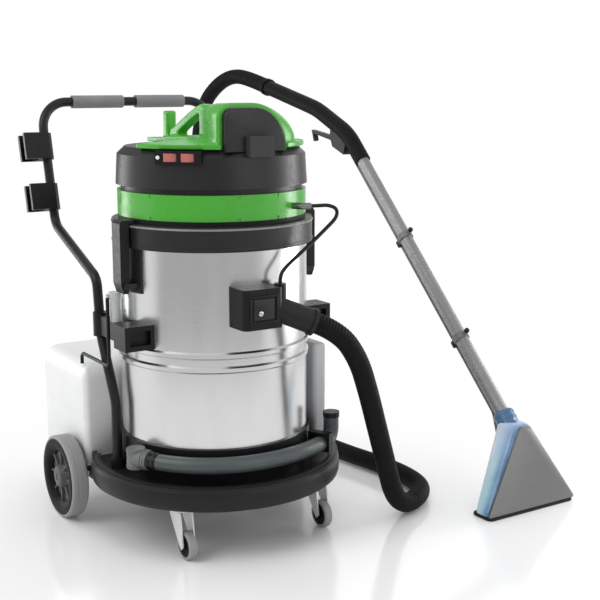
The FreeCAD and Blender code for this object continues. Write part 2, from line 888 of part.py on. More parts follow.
def tool_hook(name, height):
    """A sleeve on the left leg with a C-shaped cradle that opens to the side, made along the leg."""
    low = f"{height} - hook_height / 2"
    sleeve = place(cylinder(f"{name}_sleeve", "hook_sleeve_radius", "hook_height"), z=low)
    cradle = place(
        block(f"{name}_cradle", "hook_reach", "hook_depth", "hook_height"), "-hook_reach", "-hook_depth / 2", low
    )
    slot = place(cylinder(f"{name}_slot", "hook_slot_radius", "hook_height"), "hook_slot_radius - hook_reach", "0", low)
    mouth = place(
        block(f"{name}_mouth", "hook_slot_radius", "hook_mouth", "hook_height"), "-hook_reach", "-hook_mouth / 2", low
    )
    bore = place(cylinder(f"{name}_bore", "handle_tube_radius", "hook_height"), z=low)
    clip = cut(f"{name}_clip", fuse(f"{name}_whole", sleeve, cradle), bore, slot, mouth)
    return lean(place(clip, "-handle_half", "elbow_y", "elbow_z"), V(-1, 0, 0), "leg_lean")


def leg_clamps(bar):
    """The brackets on the drum's sides, with an arm and a clamp for each leg of the handle."""
    drum = place(cylinder("bracket_drum", "drum_radius", "drum_top"))
    clamps = []
    for side, name in SIDES:
        across = "(bracket_out - bracket_inside)"
        inner_x = "bracket_inside" if side > 0 else "-bracket_out"
        body = block(f"bracket_{name}", across, "bracket_depth", "bracket_height")
        place(body, inner_x, "bracket_front", "bracket_low")
        recess = block(
            f"bracket_recess_{name}",
            "bracket_out - drum_radius",
            "bracket_recess",
            "bracket_height - 2 * bracket_wall",
        )
        recess_x = "drum_radius - bracket_wall" if side > 0 else "-bracket_out + bracket_wall"
        place(recess, recess_x, "bracket_front", "bracket_low + bracket_wall")
        arm_y = "bracket_front + bracket_depth / 2"
        arm = block(f"arm_{name}", "arm_width", f"waist_y - ({arm_y})", "arm_height")
        place(arm, f"{side} * handle_half - arm_width / 2", arm_y, "bracket_low + arm_rise")
        clamp = cylinder(f"clamp_{name}", "clamp_radius", "bracket_height")
        place(clamp, f"{side} * handle_half", "waist_y", "bracket_low")
        whole = fuse(f"bracket_whole_{name}", body, arm, clamp)
        clamps.append(cut(f"leg_clamp_{name}", whole, recess, drum, bar))
    node(group("clamps", *clamps), "leg_clamps")


# ---------------------------------------------------------------- drum


def drum_body():
    foot = turned(
        "foot",
        [
            ("foot_inside", "deck_z"),
            ("foot_radius", "deck_z"),
            ("foot_radius", "foot_top"),
            ("drum_radius", "foot_top"),
            ("drum_radius", "drum_floor"),
            ("foot_inside", "drum_floor"),
        ],
    )
    drain = group("drain_way", drain_stub("drain_hole"))
    round_drum(drain, "drain_angle", -1)
    node(cut("foot_open", foot, drain), "drum_foot")

    def bead(z, radius):
        return [
            (radius, f"{z} - bead_half"),
            (f"{radius} + bead_out", f"{z} - bead_half / 2"),
            (f"{radius} + bead_out", f"{z} + bead_half / 2"),
            (radius, f"{z} + bead_half"),
        ]

    inside = "drum_radius - drum_wall"
    shell = turned(
        "shell",
        [("0", "drum_floor"), ("drum_radius", "drum_floor")]
        + bead("bead_low", "drum_radius")
        + bead("bead_high", "drum_radius")
        + [("drum_radius", "drum_top"), (inside, "drum_top")]
        + bead("bead_high", inside)[::-1]
        + bead("bead_low", inside)[::-1]
        + [(inside, "drum_floor + drum_wall"), ("0", "drum_floor + drum_wall")],
    )
    inlet = cylinder("inlet_way", "spigot_radius", "drum_radius")
    place(inlet, "inlet_x", "inlet_front", "inlet_z", ALONG_Y)
    node(cut("shell_open", shell, inlet, drain), "drum_shell")


def drum_rim():
    """The band round the drum's mouth, with a plate and two ears behind each latch."""
    band = turned(
        "band",
        [
            ("drum_radius", "rim_low"),
            ("rim_outside", "rim_low"),
            ("rim_outside", "rim_top"),
            ("rim_inside", "rim_top"),
            ("rim_inside", "drum_top"),
            ("drum_radius", "drum_top"),
        ],
    )
    ear_y = "(latch_width / 2 + clearance)"
    plate_half = f"({ear_y} + latch_ear + latch_plate_margin)"
    round_plate = place(cylinder("plate_round", "drum_radius + latch_plate", "rim_low - latch_low"), z="latch_low")
    strip = block("plate_strip", "2 * rim_outside", f"2 * {plate_half}", "rim_low - latch_low")
    place(strip, "-rim_outside", f"latch_y - {plate_half}", "latch_low")
    solids = [band, common("plates", round_plate, strip)]
    holes = [place(cylinder("rim_drum", "drum_radius", "rim_low"))]
    for side, name in SIDES:
        ear_x = "drum_radius - latch_ear" if side > 0 else "-latch_pivot_out - 2 * latch_pin_radius"
        ear_length = "latch_pivot_out + 2 * latch_pin_radius - drum_radius + latch_ear"
        for at_front, place_y in ((1, f"latch_y - {ear_y} - latch_ear"), (0, f"latch_y + {ear_y}")):
            ear = block(f"ear_{name}_{at_front}", ear_length, "latch_ear", "4 * latch_pin_radius")
            solids.append(place(ear, ear_x, place_y, "latch_pivot_z - 2 * latch_pin_radius"))
        hole = cylinder(f"latch_hole_{name}", "latch_pin_radius + running_gap", f"2 * {plate_half}")
        holes.append(place(hole, f"{side} * latch_pivot_out", f"latch_y - {plate_half}", "latch_pivot_z", ALONG_Y))
    node(cut("rim", fuse("rim_whole", *solids), *holes), "drum_rim")


def latches():
    for side, name in SIDES:
        profile = [
            ("latch_pivot_out - latch_toe", "latch_low"),
            ("latch_pivot_out + latch_toe", "latch_low"),
            ("latch_out", "latch_pivot_z + latch_toe"),
            ("latch_out", "latch_top - latch_nose_thick"),
            ("latch_out - latch_toe", "latch_top"),
            ("latch_nose", "latch_top"),
            ("latch_nose", "latch_top - latch_nose_thick"),
            ("latch_inside", "latch_top - latch_nose_thick"),
            ("latch_inside", "latch_pivot_z + latch_toe"),
        ]
        profile = [(f"{side} * ({x})", z) for x, z in profile]
        plate = place(padded(f"latch_plate_{name}", "XZ_Plane", profile, "latch_width"), "0", "latch_y")
        pin = cylinder(f"latch_pin_{name}", "latch_pin_radius", "latch_width + 2 * clearance + 2 * latch_ear")
        pin_y = "latch_y - latch_width / 2 - clearance - latch_ear"
        place(pin, f"{side} * latch_pivot_out", pin_y, "latch_pivot_z", ALONG_Y)
        node(fuse(f"latch_whole_{name}", plate, pin), f"latch_{name}")


def inlet():
    """The suction inlet on the drum's front, and the cuff that the hose leaves from."""
    box = block("inlet_box", "inlet_width", "-inlet_front - drum_radius / 2", "inlet_height")
    place(box, "inlet_x - inlet_width / 2", "inlet_front", "inlet_z - inlet_height / 2")
    box = rounded(
        "inlet_edges",
        box,
        n.inlet_corner,
        lambda edge: is_upright(edge) and edge.BoundBox.YMax < n.inlet_front + 1,
    )
    port = place(cylinder("inlet_port", "port_radius", "port_top - port_low"), "port_x", "port_y", "port_low")
    drum = place(cylinder("inlet_drum", "drum_radius", "drum_top"))
    spigot = cylinder("spigot", "spigot_radius", "spigot_end - inlet_front - inlet_corner")
    place(spigot, "inlet_x", "inlet_front + inlet_corner", "inlet_z", ALONG_Y)
    throat = cylinder("throat", "cuff_bore", "spigot_end - inlet_front - inlet_corner")
    place(throat, "inlet_x", "inlet_front + inlet_corner", "inlet_z", ALONG_Y)
    mouth = cylinder("mouth", "cuff_bore", "inlet_width / 2")
    place(mouth, "inlet_x", "cuff_y", "cuff_z", ALONG_X)
    outside = cut("inlet_outside", fuse("inlet_body", box, port), drum)
    housing = cut("inlet_housing_solid", fuse("inlet_whole", outside, spigot), throat, mouth)
    node(housing, "inlet_housing")
    start = V(n.cuff_x, n.cuff_y, n.cuff_z)
    end = V(n.cuff_end_x, n.cuff_end_y, n.cuff_end_z)
    ahead = (end - start).normalize()
    ring_start = end - ahead * n.cuff_ring_length
    cuff = piece("cuff", swept([start, end], [], n.cuff_radius))
    ring = piece("cuff_ring", swept([ring_start, end], [], n.cuff_ring_radius))
    bore = piece("cuff_way", swept([start, end - ahead * n.cuff_end_wall], [], n.cuff_bore))
    node(cut("cuff_open", fuse("cuff_whole", cuff, ring), box, port, spigot, drum, bore), "inlet_cuff")
    return end + ahead * n.clearance, ahead


# ---------------------------------------------------------------- drain


def drain_stub(name):
    """The drain's stub through the drum's wall, as it lies with the drain's tangent point at the front."""
    stub = cylinder(name, "drain_stub_radius", "drain_centre - drum_radius + drain_stub_inside")
    return place(stub, "-drain_straight", "-drain_centre", "drain_stub_z", ALONG_Y)


def drain():
    """A fitting low on the drum's left front, and its hose round the front, turned up to a plug."""
    body = cylinder("drain_body", "drain_body_radius", "drain_body_height")
    place(body, "-drain_straight", "-drain_centre", "drain_z - drain_body_height / 2")
    socket = cylinder("drain_socket", "drain_socket_radius", "drain_straight - drain_socket_gap")
    place(socket, "-drain_straight", "-drain_centre", "drain_z", ALONG_X)
    seat = cylinder("drain_seat", "drain_hose_radius", "drain_socket_depth")
    place(seat, "-drain_socket_gap - drain_socket_depth", "-drain_centre", "drain_z", ALONG_X)
    way = cylinder("drain_way_out", "drain_hose_radius - drain_hose_wall", "drain_straight - drain_socket_gap")
    place(way, "-drain_straight", "-drain_centre", "drain_z", ALONG_X)
    fitting = cut("drain_fitting", fuse("drain_whole", body, socket, drain_stub("drain_stub")), seat, way)
    node(round_drum(fitting, "drain_angle", -1), "drain_elbow")

    bends = 3
    step = (n.drain_angle + n.drain_leave) / bends
    corner_radius = n.drain_centre / math.cos(math.radians(step / 2))
    start = drum_point(n.drain_angle, n.drain_centre, n.drain_z, -n.drain_socket_gap - n.drain_socket_depth)
    corners = [drum_point(n.drain_angle - (k + 0.5) * step, corner_radius, n.drain_z) for k in range(bends)]
    turn_up = V(n.drain_end_x, n.drain_end_y, n.drain_dip_z)
    points = [start, *corners, turn_up, V(n.drain_end_x, n.drain_end_y, n.drain_end_z)]
    radii = [n.drain_centre] * bends + [n.drain_turn_radius]
    hose = piece("drain_hose_outside", swept(points, radii, n.drain_hose_radius))
    bore = piece("drain_hose_inside", swept(points, radii, n.drain_hose_radius - n.drain_hose_wall))
    node(cut("drain_hose_tube", hose, bore), "drain_hose")

    knob = cylinder("plug_knob", "plug_flange", "plug_height")
    place(knob, "drain_end_x", "drain_end_y", "drain_end_z")
    plug = cylinder("plug_stem", "drain_hose_radius - drain_hose_wall - running_gap", "plug_depth")
    place(plug, "drain_end_x", "drain_end_y", "drain_end_z - plug_depth")
    node(fuse("plug", knob, plug), "drain_plug")

    clip = block("clip_block", "clip_block_width", "clip_block_out - drum_radius + drum_wall", "clip_block_height")
    place(clip, "clip_block_along", "-clip_block_out", "clip_block_low")
    clip = round_drum(group("clip_turned", clip), "drain_leave", 1)
    foot = place(cylinder("clip_foot", "foot_radius", "drum_top"))
    node(cut("hose_clip", clip, foot, hose), "drain_clip")


# ---------------------------------------------------------------- solution tank, filter and pump


def tank_block(name, inset, low, high, corner, front_corner, edge_radius):
    """The tank's block, smaller by inset on each side, with rounded corners and top edges."""
    box = block(name, f"2 * (tank_half - {inset})", f"tank_back - tank_front - 2 * {inset}", f"{high} - {low}")
    place(box, f"-tank_half + {inset}", f"tank_front + {inset}", low)
    middle = (n.tank_front + n.tank_back) / 2
    box = rounded(f"{name}_rear", box, corner, lambda e: is_upright(e) and e.BoundBox.YMin > middle)
    box = rounded(f"{name}_front", box, front_corner, lambda e: is_upright(e) and e.BoundBox.YMin < middle)
    doc.recompute()
    top = box.Shape.BoundBox.ZMax
    return rounded(f"{name}_top", box, edge_radius, lambda e: is_level_at(e, top))


def solution_tank():
    """A tank that fits round the back of the drum, with a filler hole in its top."""
    low = "(base_under + shelf_height)"
    outside = tank_block("tank", "0", low, "tank_top", n.tank_corner, n.tank_front_corner, n.tank_edge)
    inside = tank_block(
        "tank_inside",
        "tank_wall",
        f"({low} + tank_wall)",
        "(tank_top - tank_wall)",
        n.tank_corner - n.tank_wall,
        n.tank_front_corner - n.tank_wall,
        n.tank_edge - n.tank_wall,
    )
    hug = place(cylinder("tank_hug_round", "tank_hug", "tank_top"))
    hug_wall = place(cylinder("tank_hug_wall", "tank_hug + tank_wall", "tank_top"))
    filler = place(cylinder("filler", "filler_radius", "2 * tank_wall"), "0", "filler_y", "tank_top - 2 * tank_wall")
    node(cut("tank_open", outside, hug, cut("tank_room", inside, hug_wall), filler), "solution_tank")
    lid = place(cylinder("cap_lid", "cap_radius", "cap_height"), "0", "filler_y", "tank_top")
    skirt = cylinder("cap_skirt", "filler_radius - running_gap", "2 * tank_wall")
    place(skirt, "0", "filler_y", "tank_top - 2 * tank_wall")
    node(fuse("cap", lid, skirt), "tank_cap")


def filter_and_pump():
    """The inline filter on the left bracket's arm, its tube from the tank, and the boxed solution pump."""
    seat = "bracket_low + arm_rise + arm_height"
    bowl = place(cylinder("filter_bowl", "filter_bowl_radius", "filter_bowl_height"), "filter_x", "filter_y", seat)
    cap_z = f"{seat} + filter_bowl_height"
    cap = place(cylinder("filter_cap", "filter_cap_radius", "filter_cap_height"), "filter_x", "filter_y", cap_z)
    nipple = block("filter_nipple", "tank_tube_out + tank_tube_radius + filter_x", "2 * tank_tube_radius", "filter_cap_height / 2")
    place(
        nipple,
        "-tank_tube_out - tank_tube_radius",
        "filter_y - tank_tube_radius",
        f"{cap_z} + filter_cap_height / 4",
    )
    node(fuse("filter", bowl, cap, nipple), "inline_filter")
    end_z = n.bracket_low + n.arm_rise + n.arm_height + n.filter_bowl_height + n.filter_cap_height / 4
    x = -n.tank_tube_out
    points = [
        V(x, n.tank_front + 2 * n.tank_front_corner, n.tank_top),
        V(x, n.tank_front + 2 * n.tank_front_corner, n.tank_tube_z),
        V(x, n.filter_y, n.tank_tube_z),
        V(x, n.filter_y, end_z),
    ]
    node(piece("tank_line", swept(points, [n.tank_tube_bend] * 2, n.tank_tube_radius)), "tank_tube")

    case = block(
        "pump_box", "pump_case_out - pump_case_inside", "pump_case_back - pump_case_front", "pump_case_top - deck_z"
    )
    place(case, "pump_case_inside", "pump_case_front", "deck_z")
    case = rounded("pump_box_edges", case, n.pump_case_edge, lambda e: e.BoundBox.ZMax > n.deck_z + 1)
    room = block(
        "pump_room",
        "pump_case_out - pump_case_inside - 2 * pump_case_wall",
        "pump_case_back - pump_case_front - 2 * pump_case_wall",
        "pump_height + pump_case_wall",
    )
    place(room, "pump_case_inside + pump_case_wall", "pump_case_front + pump_case_wall", "deck_z + pump_case_wall")
    node(cut("pump_case", case, room), "pump_housing")
    pump = cylinder("pump", "pump_radius", "pump_height")
    middle_x = "(pump_case_inside + pump_case_out) / 2"
    place(pump, middle_x, "(pump_case_front + pump_case_back) / 2", "deck_z + pump_case_wall")
    node(pump, "solution_pump")


# ---------------------------------------------------------------- motor head


def head_ring():
    seal = [("seal_inside", "rim_top"), ("seal_outside", "rim_top"), ("seal_outside", "ring_low"), ("seal_inside", "ring_low")]
    node(turned("seal", seal), "head_seal")
    inside = "ring_radius - ring_wall"
    ring = turned(
        "ring",
        [
            ("suction_eye", "ring_low"),
            ("ring_radius", "ring_low"),
            ("ring_radius", "neck_low"),
            (inside, "neck_low"),
            (inside, "ring_low + ring_floor"),
            ("suction_eye", "ring_low + ring_floor"),
        ],
    )
    notches = []
    for side, name in SIDES:
        for number, angle in enumerate(("notch_near", "notch_far")):
            pair = []
            for level, z in (("low", "ring_low"), ("high", "neck_low - notch_size")):
                notch = block(f"notch_{name}_{number}_{level}", "notch_size", "2 * notch_depth", "notch_size")
                pair.append(place(notch, "-notch_size / 2", "-ring_radius - notch_depth", z))
            notches.append(round_drum(group(f"notches_{name}_{number}", *pair), angle, side))
    node(cut("ring_notched", ring, *notches), "head_ring")


def switch_pieces(cover):
    """The switch bezel on the cover's left front with its two rockers and lamp. Returns what they need cut."""
    rocker_z = "(bezel_low + bezel_height / 2)"
    bezel = block("bezel", "bezel_width", "bezel_depth", "bezel_height")
    place(bezel, "-bezel_width / 2", "-bezel_front", "bezel_low")
    wells = []
    rockers = []
    for name in ("left", "right"):
        x = f"rocker_{name}"
        well = block(f"rocker_well_{name}", "rocker_width + 2 * rocker_gap", "bezel_depth", "rocker_height + 2 * clearance")
        y = "-bezel_front"
        wells.append(place(well, f"{x} - rocker_width / 2 - rocker_gap", y, f"{rocker_z} - rocker_height / 2 - clearance"))
        half = "rocker_width / 2"
        face = padded(
            f"rocker_{name}",
            "XY_Plane",
            [
                (f"-{half}", "-rocker_edge"),
                ("0", "-rocker_crown"),
                (half, "-rocker_edge"),
                (half, "rocker_back"),
                (f"-{half}", "rocker_back"),
            ],
            "rocker_height",
        )
        lean(place(face, x, "-rocker_pivot", rocker_z), V(0, 0, 1), "rocker_tilt")
        rockers.append(face)
    lamp_hole = cylinder("lamp_hole", "lamp_radius", "bezel_depth")
    place(lamp_hole, "lamp_place", "-bezel_front", rocker_z, ALONG_Y)
    lamp = cylinder("lamp", "lamp_radius", "bezel_depth / 2 + lamp_radius / 2")
    place(lamp, "lamp_place", "-bezel_front - lamp_radius / 2", rocker_z, ALONG_Y)
    wells = round_drum(group("rocker_wells", *wells), "switch_angle", -1)
    lamp_hole = round_drum(group("lamp_way", lamp_hole), "switch_angle", -1)
    bezel = round_drum(group("bezel_turned", bezel), "switch_angle", -1)
    node(cut("bezel_open", bezel, cover, wells, lamp_hole), "switch_bezel")
    for rocker, label in zip(rockers, ("pump_switch", "motor_switch")):
        node(round_drum(group(f"{label}_turned", rocker), "switch_angle", -1), label)
    node(round_drum(group("lamp_turned", lamp), "switch_angle", -1), "pilot_lamp")
    return wells, lamp_hole


def motor_cover():
    """The dark shell over the motor, with the holes of its switches, and the cable gland at its back."""
    inside = "neck_radius - shell_wall"
    cover = turned(
        "cover",
        [
            (inside, "neck_low"),
            ("neck_radius", "neck_low"),
            ("neck_radius", "neck_low + neck_height"),
            ("shell_low_radius", "neck_low + neck_height"),
            ("shell_high_radius", "shell_shoulder_z"),
            ("shell_flat_radius", "shell_top"),
            ("0", "shell_top"),
            ("0", "shell_top - shell_wall"),
            ("shell_flat_radius - shell_wall", "shell_top - shell_wall"),
            (inside, "shell_shoulder_z - shell_wall"),
        ],
    )
    wells, lamp_hole = switch_pieces(cover)
    gland = cylinder("gland", "gland_radius", "shell_low_radius - neck_radius + gland_length")
    place(gland, "0", "-shell_low_radius - gland_length", "gland_z", ALONG_Y)
    hole = cylinder("gland_hole", "gland_bore", "shell_low_radius - neck_radius + gland_length + shell_wall")
    place(hole, "0", "-shell_low_radius - gland_length", "gland_z", ALONG_Y)
    hole = round_drum(group("gland_way", hole), "gland_angle", -1)
    gland = round_drum(group("gland_turned", gland), "gland_angle", -1)
    node(cut("cover_open", cover, wells, lamp_hole, hole), "motor_cover")
    node(cut("gland_open", gland, cover, hole), "cable_gland")
    return cover


def hood_section(left, right, top):
    """The hood's outline: upright at its left, domed towards its right."""
    low = "shell_top"
    rise = f"({top} - shell_top)"
    return [
        (left, low),
        (left, f"{low} + 0.75 * {rise}"),
        (f"0.87 * {left}", f"{low} + 0.93 * {rise}"),
        (f"0.68 * {left}", top),
        ("0", top),
        (f"0.5 * {right}", f"{low} + 0.87 * {rise}"),
        (f"0.87 * {right}", f"{low} + 0.5 * {rise}"),
        (right, low),
    ]


def top_cover(cover):
    """The green cover: a plate on the shell's front, a hood that narrows to the carry bar, and a tail."""
    plate = place(cylinder("plate", "cap_plate_radius", "cap_plate_height"), z="shell_top")
    behind = block("plate_behind", "2 * cap_plate_radius", "2 * cap_plate_radius", "cap_plate_height")
    place(behind, "-cap_plate_radius", "cap_plate_back", "shell_top")
    tongue = block("tongue", "2 * tongue_half", "tongue_back - cap_plate_back", "cap_plate_height")
    place(tongue, "-tongue_half", "cap_plate_back", "shell_top")
    bar_half = "carry_bar_half"
    hood = lofted(
        "hood",
        "XZ_Plane",
        [
            ("-hood_front", hood_section("hood_left", "hood_right", "hood_top")),
            ("-hood_waist_y", hood_section("hood_left / 2", "hood_right / 2", "hood_top")),
            ("-hood_end_y", hood_section(f"-{bar_half}", bar_half, "hood_top - carry_bar_drop")),
        ],
    )
    foot_y = "carry_bar_low_y - 2 * carry_bar_height"
    bar = padded(
        "carry_bar",
        "YZ_Plane",
        [
            ("hood_end_y - carry_bar_half", "hood_top - carry_bar_drop - carry_bar_height"),
            (foot_y, "shell_top + cap_plate_height"),
            (foot_y, "shell_top"),
            ("carry_bar_low_y", "shell_top"),
            ("carry_bar_low_y", "carry_bar_low_z"),
            ("hood_end_y - carry_bar_half", "hood_top - carry_bar_drop"),
        ],
        f"2 * {bar_half}",
    )
    tail = block("tail", f"2 * {bar_half}", "tongue_back - tail_front", "tail_top - shell_top")
    place(tail, f"-{bar_half}", "tail_front", "shell_top")
    panel = padded(
        "panel",
        "XZ_Plane",
        hood_section("panel_left", "panel_right", "panel_top"),
        "panel_depth",
        "-hood_front + panel_depth / 2",
    )
    vent = block("vent", "vent_width", "hood_front - panel_depth - vent_front", "vent_height")
    vent = cut("vent_cut", place(vent, "vent_x - vent_width / 2", "vent_front", "vent_low"), cover)
    panel_way = padded(
        "panel_way",
        "XZ_Plane",
        hood_section("panel_left", "panel_right", "panel_top"),
        "cap_plate_radius + hood_front",
        "(cap_plate_radius - hood_front) / 2",
    )
    whole = fuse("top_whole", cut("plate_front", plate, behind), tongue, hood, bar, tail)
    node(cut("top", whole, panel_way), "top_cover")
    node(panel, "dome_panel")
    node(vent, "vent_block")


def vacuum_parts():
    """The vacuum motor on the ring's floor, its impeller, and the float in its cage under the floor."""
    floor = "(ring_low + ring_floor)"
    case_top = f"({floor} + fan_case_height)"
    bore = "shaft_radius + running_gap"
    motor = turned(
        "motor",
        [
            ("fan_case_radius - fan_case_wall", floor),
            ("fan_case_radius", floor),
            ("fan_case_radius", case_top),
            ("motor_radius", case_top),
            ("motor_radius", f"{case_top} + motor_height"),
            ("0", f"{case_top} + motor_height"),
            ("0", f"{case_top} + motor_height / 2 + clearance"),
            (bore, f"{case_top} + motor_height / 2 + clearance"),
            (bore, f"{case_top} - fan_case_wall"),
            ("fan_case_radius - fan_case_wall", f"{case_top} - fan_case_wall"),
        ],
    )
    node(motor, "vacuum_motor")
    fan_low = f"({floor} + fan_lift)"
    fan = turned(
        "fan",
        [
            ("0", fan_low),
            ("fan_radius", fan_low),
            ("fan_radius", f"{fan_low} + fan_height"),
            ("shaft_radius", f"{fan_low} + fan_height"),
            ("shaft_radius", f"{case_top} + motor_height / 2"),
            ("0", f"{case_top} + motor_height / 2"),
        ],
    )
    node(fan, "fan_impeller")
    cage = turned(
        "cage",
        [
            ("0", "cage_low"),
            ("cage_radius", "cage_low"),
            ("cage_radius", "ring_low - cage_wall"),
            ("cage_flange", "ring_low - cage_wall"),
            ("cage_flange", "ring_low"),
            ("cage_radius - cage_wall", "ring_low"),
            ("cage_radius - cage_wall", "cage_low + cage_wall"),
            ("0", "cage_low + cage_wall"),
        ],
    )
    slots = []
    for turn, name in ((0, "across"), (90, "along")):
        slot = block(
            f"cage_slot_{name}", "2 * cage_flange", "cage_slot", "ring_low - cage_low - 2 * cage_slot"
        )
        place(slot, "-cage_flange", "-cage_slot / 2", "cage_low + cage_slot")
        slots.append(lean(place(group(f"cage_slots_{name}", slot)), V(0, 0, 1), str(turn)))
    node(cut("cage_open", cage, *slots), "float_cage")
    ball = tie(doc.addObject("Part::Sphere", "float"), Radius="float_radius")
    node(place(ball, z="cage_low + cage_wall + float_radius"), "float_ball")


def quick_coupling():
    """The elbow on the ring where the solution tube plugs in. Returns the tube's start and heading."""
    root = drum_point(-n.coupling_angle, n.ring_radius - n.ring_wall / 2, n.coupling_z)
    bend = drum_point(-n.coupling_angle, n.coupling_out, n.coupling_z)
    heading = drum_point(-n.coupling_angle - n.coupling_turn, 1, 0)
    end = bend + heading * n.coupling_length
    elbow = piece("coupling_elbow", swept([root, bend, end], [n.coupling_radius + 1], n.coupling_radius))
    ring = place(cylinder("coupling_ring", "ring_radius", "neck_low"))
    node(cut("coupling", elbow, ring), "quick_coupling")
    return end + heading * n.clearance


# ---------------------------------------------------------------- floor wand


def wand_handle():
    """The bent grip at the wand's top, a sleeve on the tube. Returns its outer solid."""
    end = V(n.wand_x, n.wand_end_y, n.wand_end_z)
    middle = V(n.wand_x, n.grip_middle_y, n.grip_middle_z)
    points = [wand_point(n.grip_start), wand_point(n.grip_bend), middle, end]
    bends = [n.grip_bend_radius, 2 * n.grip_bend_radius]
    back = (middle - end).normalize()
    bar = piece("grip_bar", swept(points, bends, n.wand_grip_radius))
    ring = piece("grip_ring", swept([end + back * n.wand_ring_length, end], [], n.wand_ring_radius))
    way_end = end + back * n.grip_end_wall
    way = piece("grip_way", swept([*points[:3], way_end], bends, n.wand_tube_radius - n.wand_tube_wall))
    socket = cylinder("grip_socket", "wand_tube_radius", "wand_tube_end - grip_start")
    socket = on_wand(group("grip_socket_leaning", place(socket, z="grip_start")))
    outside = fuse("grip_outside", bar, ring)
    node(cut("grip", outside, way, socket), "wand_handle")
    return outside, end - back * n.clearance


def wand():
    outer = place(cylinder("wand_outer", "wand_tube_radius", "wand_tube_end - wand_tube_start"), z="wand_tube_start")
    bore = cylinder("wand_bore", "wand_tube_radius - wand_tube_wall", "wand_tube_end - wand_tube_start")
    place(bore, z="wand_tube_start")
    node(on_wand(cut("wand_pipe", outer, bore)), "wand_tube")

    handle, hose_end = wand_handle()
    jet_top = n.jet_z + n.jet_length
    points = [
        V(n.wand_x, n.jet_y, jet_top),
        V(n.wand_x, n.jet_y, jet_top + n.jet_length),
        wand_point(n.pipe_start, n.pipe_offset),
        wand_point(n.pipe_end, n.pipe_offset),
    ]
    pipe = piece("spray_pipe", swept(points, [n.pipe_bend / 2, n.pipe_bend], n.pipe_radius))
    node(pipe, "solution_pipe")
    clips = []
    for name in ("low", "high"):
        low = f"clip_{name}"
        ring = place(cylinder(f"clip_ring_{name}", "wand_tube_radius + clip_wall", "clip_length"), z=low)
        width = "2 * (pipe_radius + clip_wall)"
        lobe = block(f"clip_lobe_{name}", width, "pipe_offset + pipe_radius + clip_wall", "clip_length")
        place(lobe, "-pipe_radius - clip_wall", "0", low)
        knob = cylinder(f"clip_knob_{name}", "knob_radius", "wand_tube_radius + clip_wall + knob_reach")
        place(knob, "0", "-wand_tube_radius - clip_wall - knob_reach", f"{low} + clip_length / 2", ALONG_Y)
        tube = place(cylinder(f"clip_tube_{name}", "wand_tube_radius", "clip_length"), z=low)
        line = place(cylinder(f"clip_line_{name}", "pipe_radius", "clip_length"), "0", "pipe_offset", low)
        clips.append(cut(f"pipe_clip_{name}", fuse(f"clip_whole_{name}", ring, lobe, knob), tube, line))
    node(on_wand(group("clips", *clips)), "pipe_clips")

    valve = padded(
        "valve",
        "YZ_Plane",
        [
            ("valve_y - valve_length / 2", "valve_z + valve_height / 3"),
            ("valve_y - valve_length / 3", "valve_z - valve_height"),
            ("valve_y + valve_length / 2", "valve_z - valve_height / 3"),
            ("valve_y + 2 * valve_length / 3", "valve_z + valve_height / 2"),
            ("valve_y + 2 * valve_length / 3", "valve_z + 2 * valve_height"),
            ("valve_y - valve_length / 4", "valve_z + valve_height"),
        ],
        "valve_width",
    )
    place(valve, "wand_x")
    slot = block("valve_slot", "trigger_width + 2 * clearance", "valve_length", "4 * valve_height")
    place(
        slot, "wand_x - trigger_width / 2 - clearance", "trigger_y - 2 * trigger_pin_radius - trigger_height", "valve_z - 2 * valve_height"
    )
    pin_hole = cylinder("trigger_hole", "trigger_pin_radius + running_gap", "valve_width")
    place(pin_hole, "wand_x - valve_width / 2", "trigger_y", "trigger_z", ALONG_X)
    node(cut("valve_open", valve, handle, pipe, slot, pin_hole), "valve_body")

    end_y = "(trigger_y + trigger_length)"
    end_z = "(trigger_z + trigger_rise)"
    lever = padded(
        "lever",
        "YZ_Plane",
        [
            ("trigger_y - trigger_height", "trigger_z - trigger_height / 2"),
            ("trigger_y + trigger_height", "trigger_z - trigger_height"),
            (f"{end_y} - trigger_height", f"{end_z} - trigger_height"),
            (f"{end_y} - 2 * trigger_height", f"{end_z} - trigger_hook"),
            (f"{end_y} - trigger_height", f"{end_z} - trigger_hook - trigger_height / 2"),
            (f"{end_y} + trigger_height / 2", f"{end_z} + trigger_height / 2"),
            ("trigger_y + trigger_height", "trigger_z + trigger_height"),
            ("trigger_y - trigger_height", "trigger_z + trigger_height / 2"),
        ],
        "trigger_width",
    )
    place(lever, "wand_x")
    pin = cylinder("trigger_pin", "trigger_pin_radius", "valve_width")
    place(pin, "wand_x - valve_width / 2", "trigger_y", "trigger_z", ALONG_X)
    node(fuse("trigger_whole", lever, pin), "trigger")
    return hose_end


def rectangle(half, front, depth, inset="0"):
    """The corners of a rectangle that is centred on the wand, from its front towards its back."""
    left = f"-({half}) + {inset}"
    right = f"{half} - {inset}"
    low = f"{front} + {inset}"
    high = f"{front} + {depth} - {inset}"
    return [(left, low), (right, low), (right, high), (left, high)]


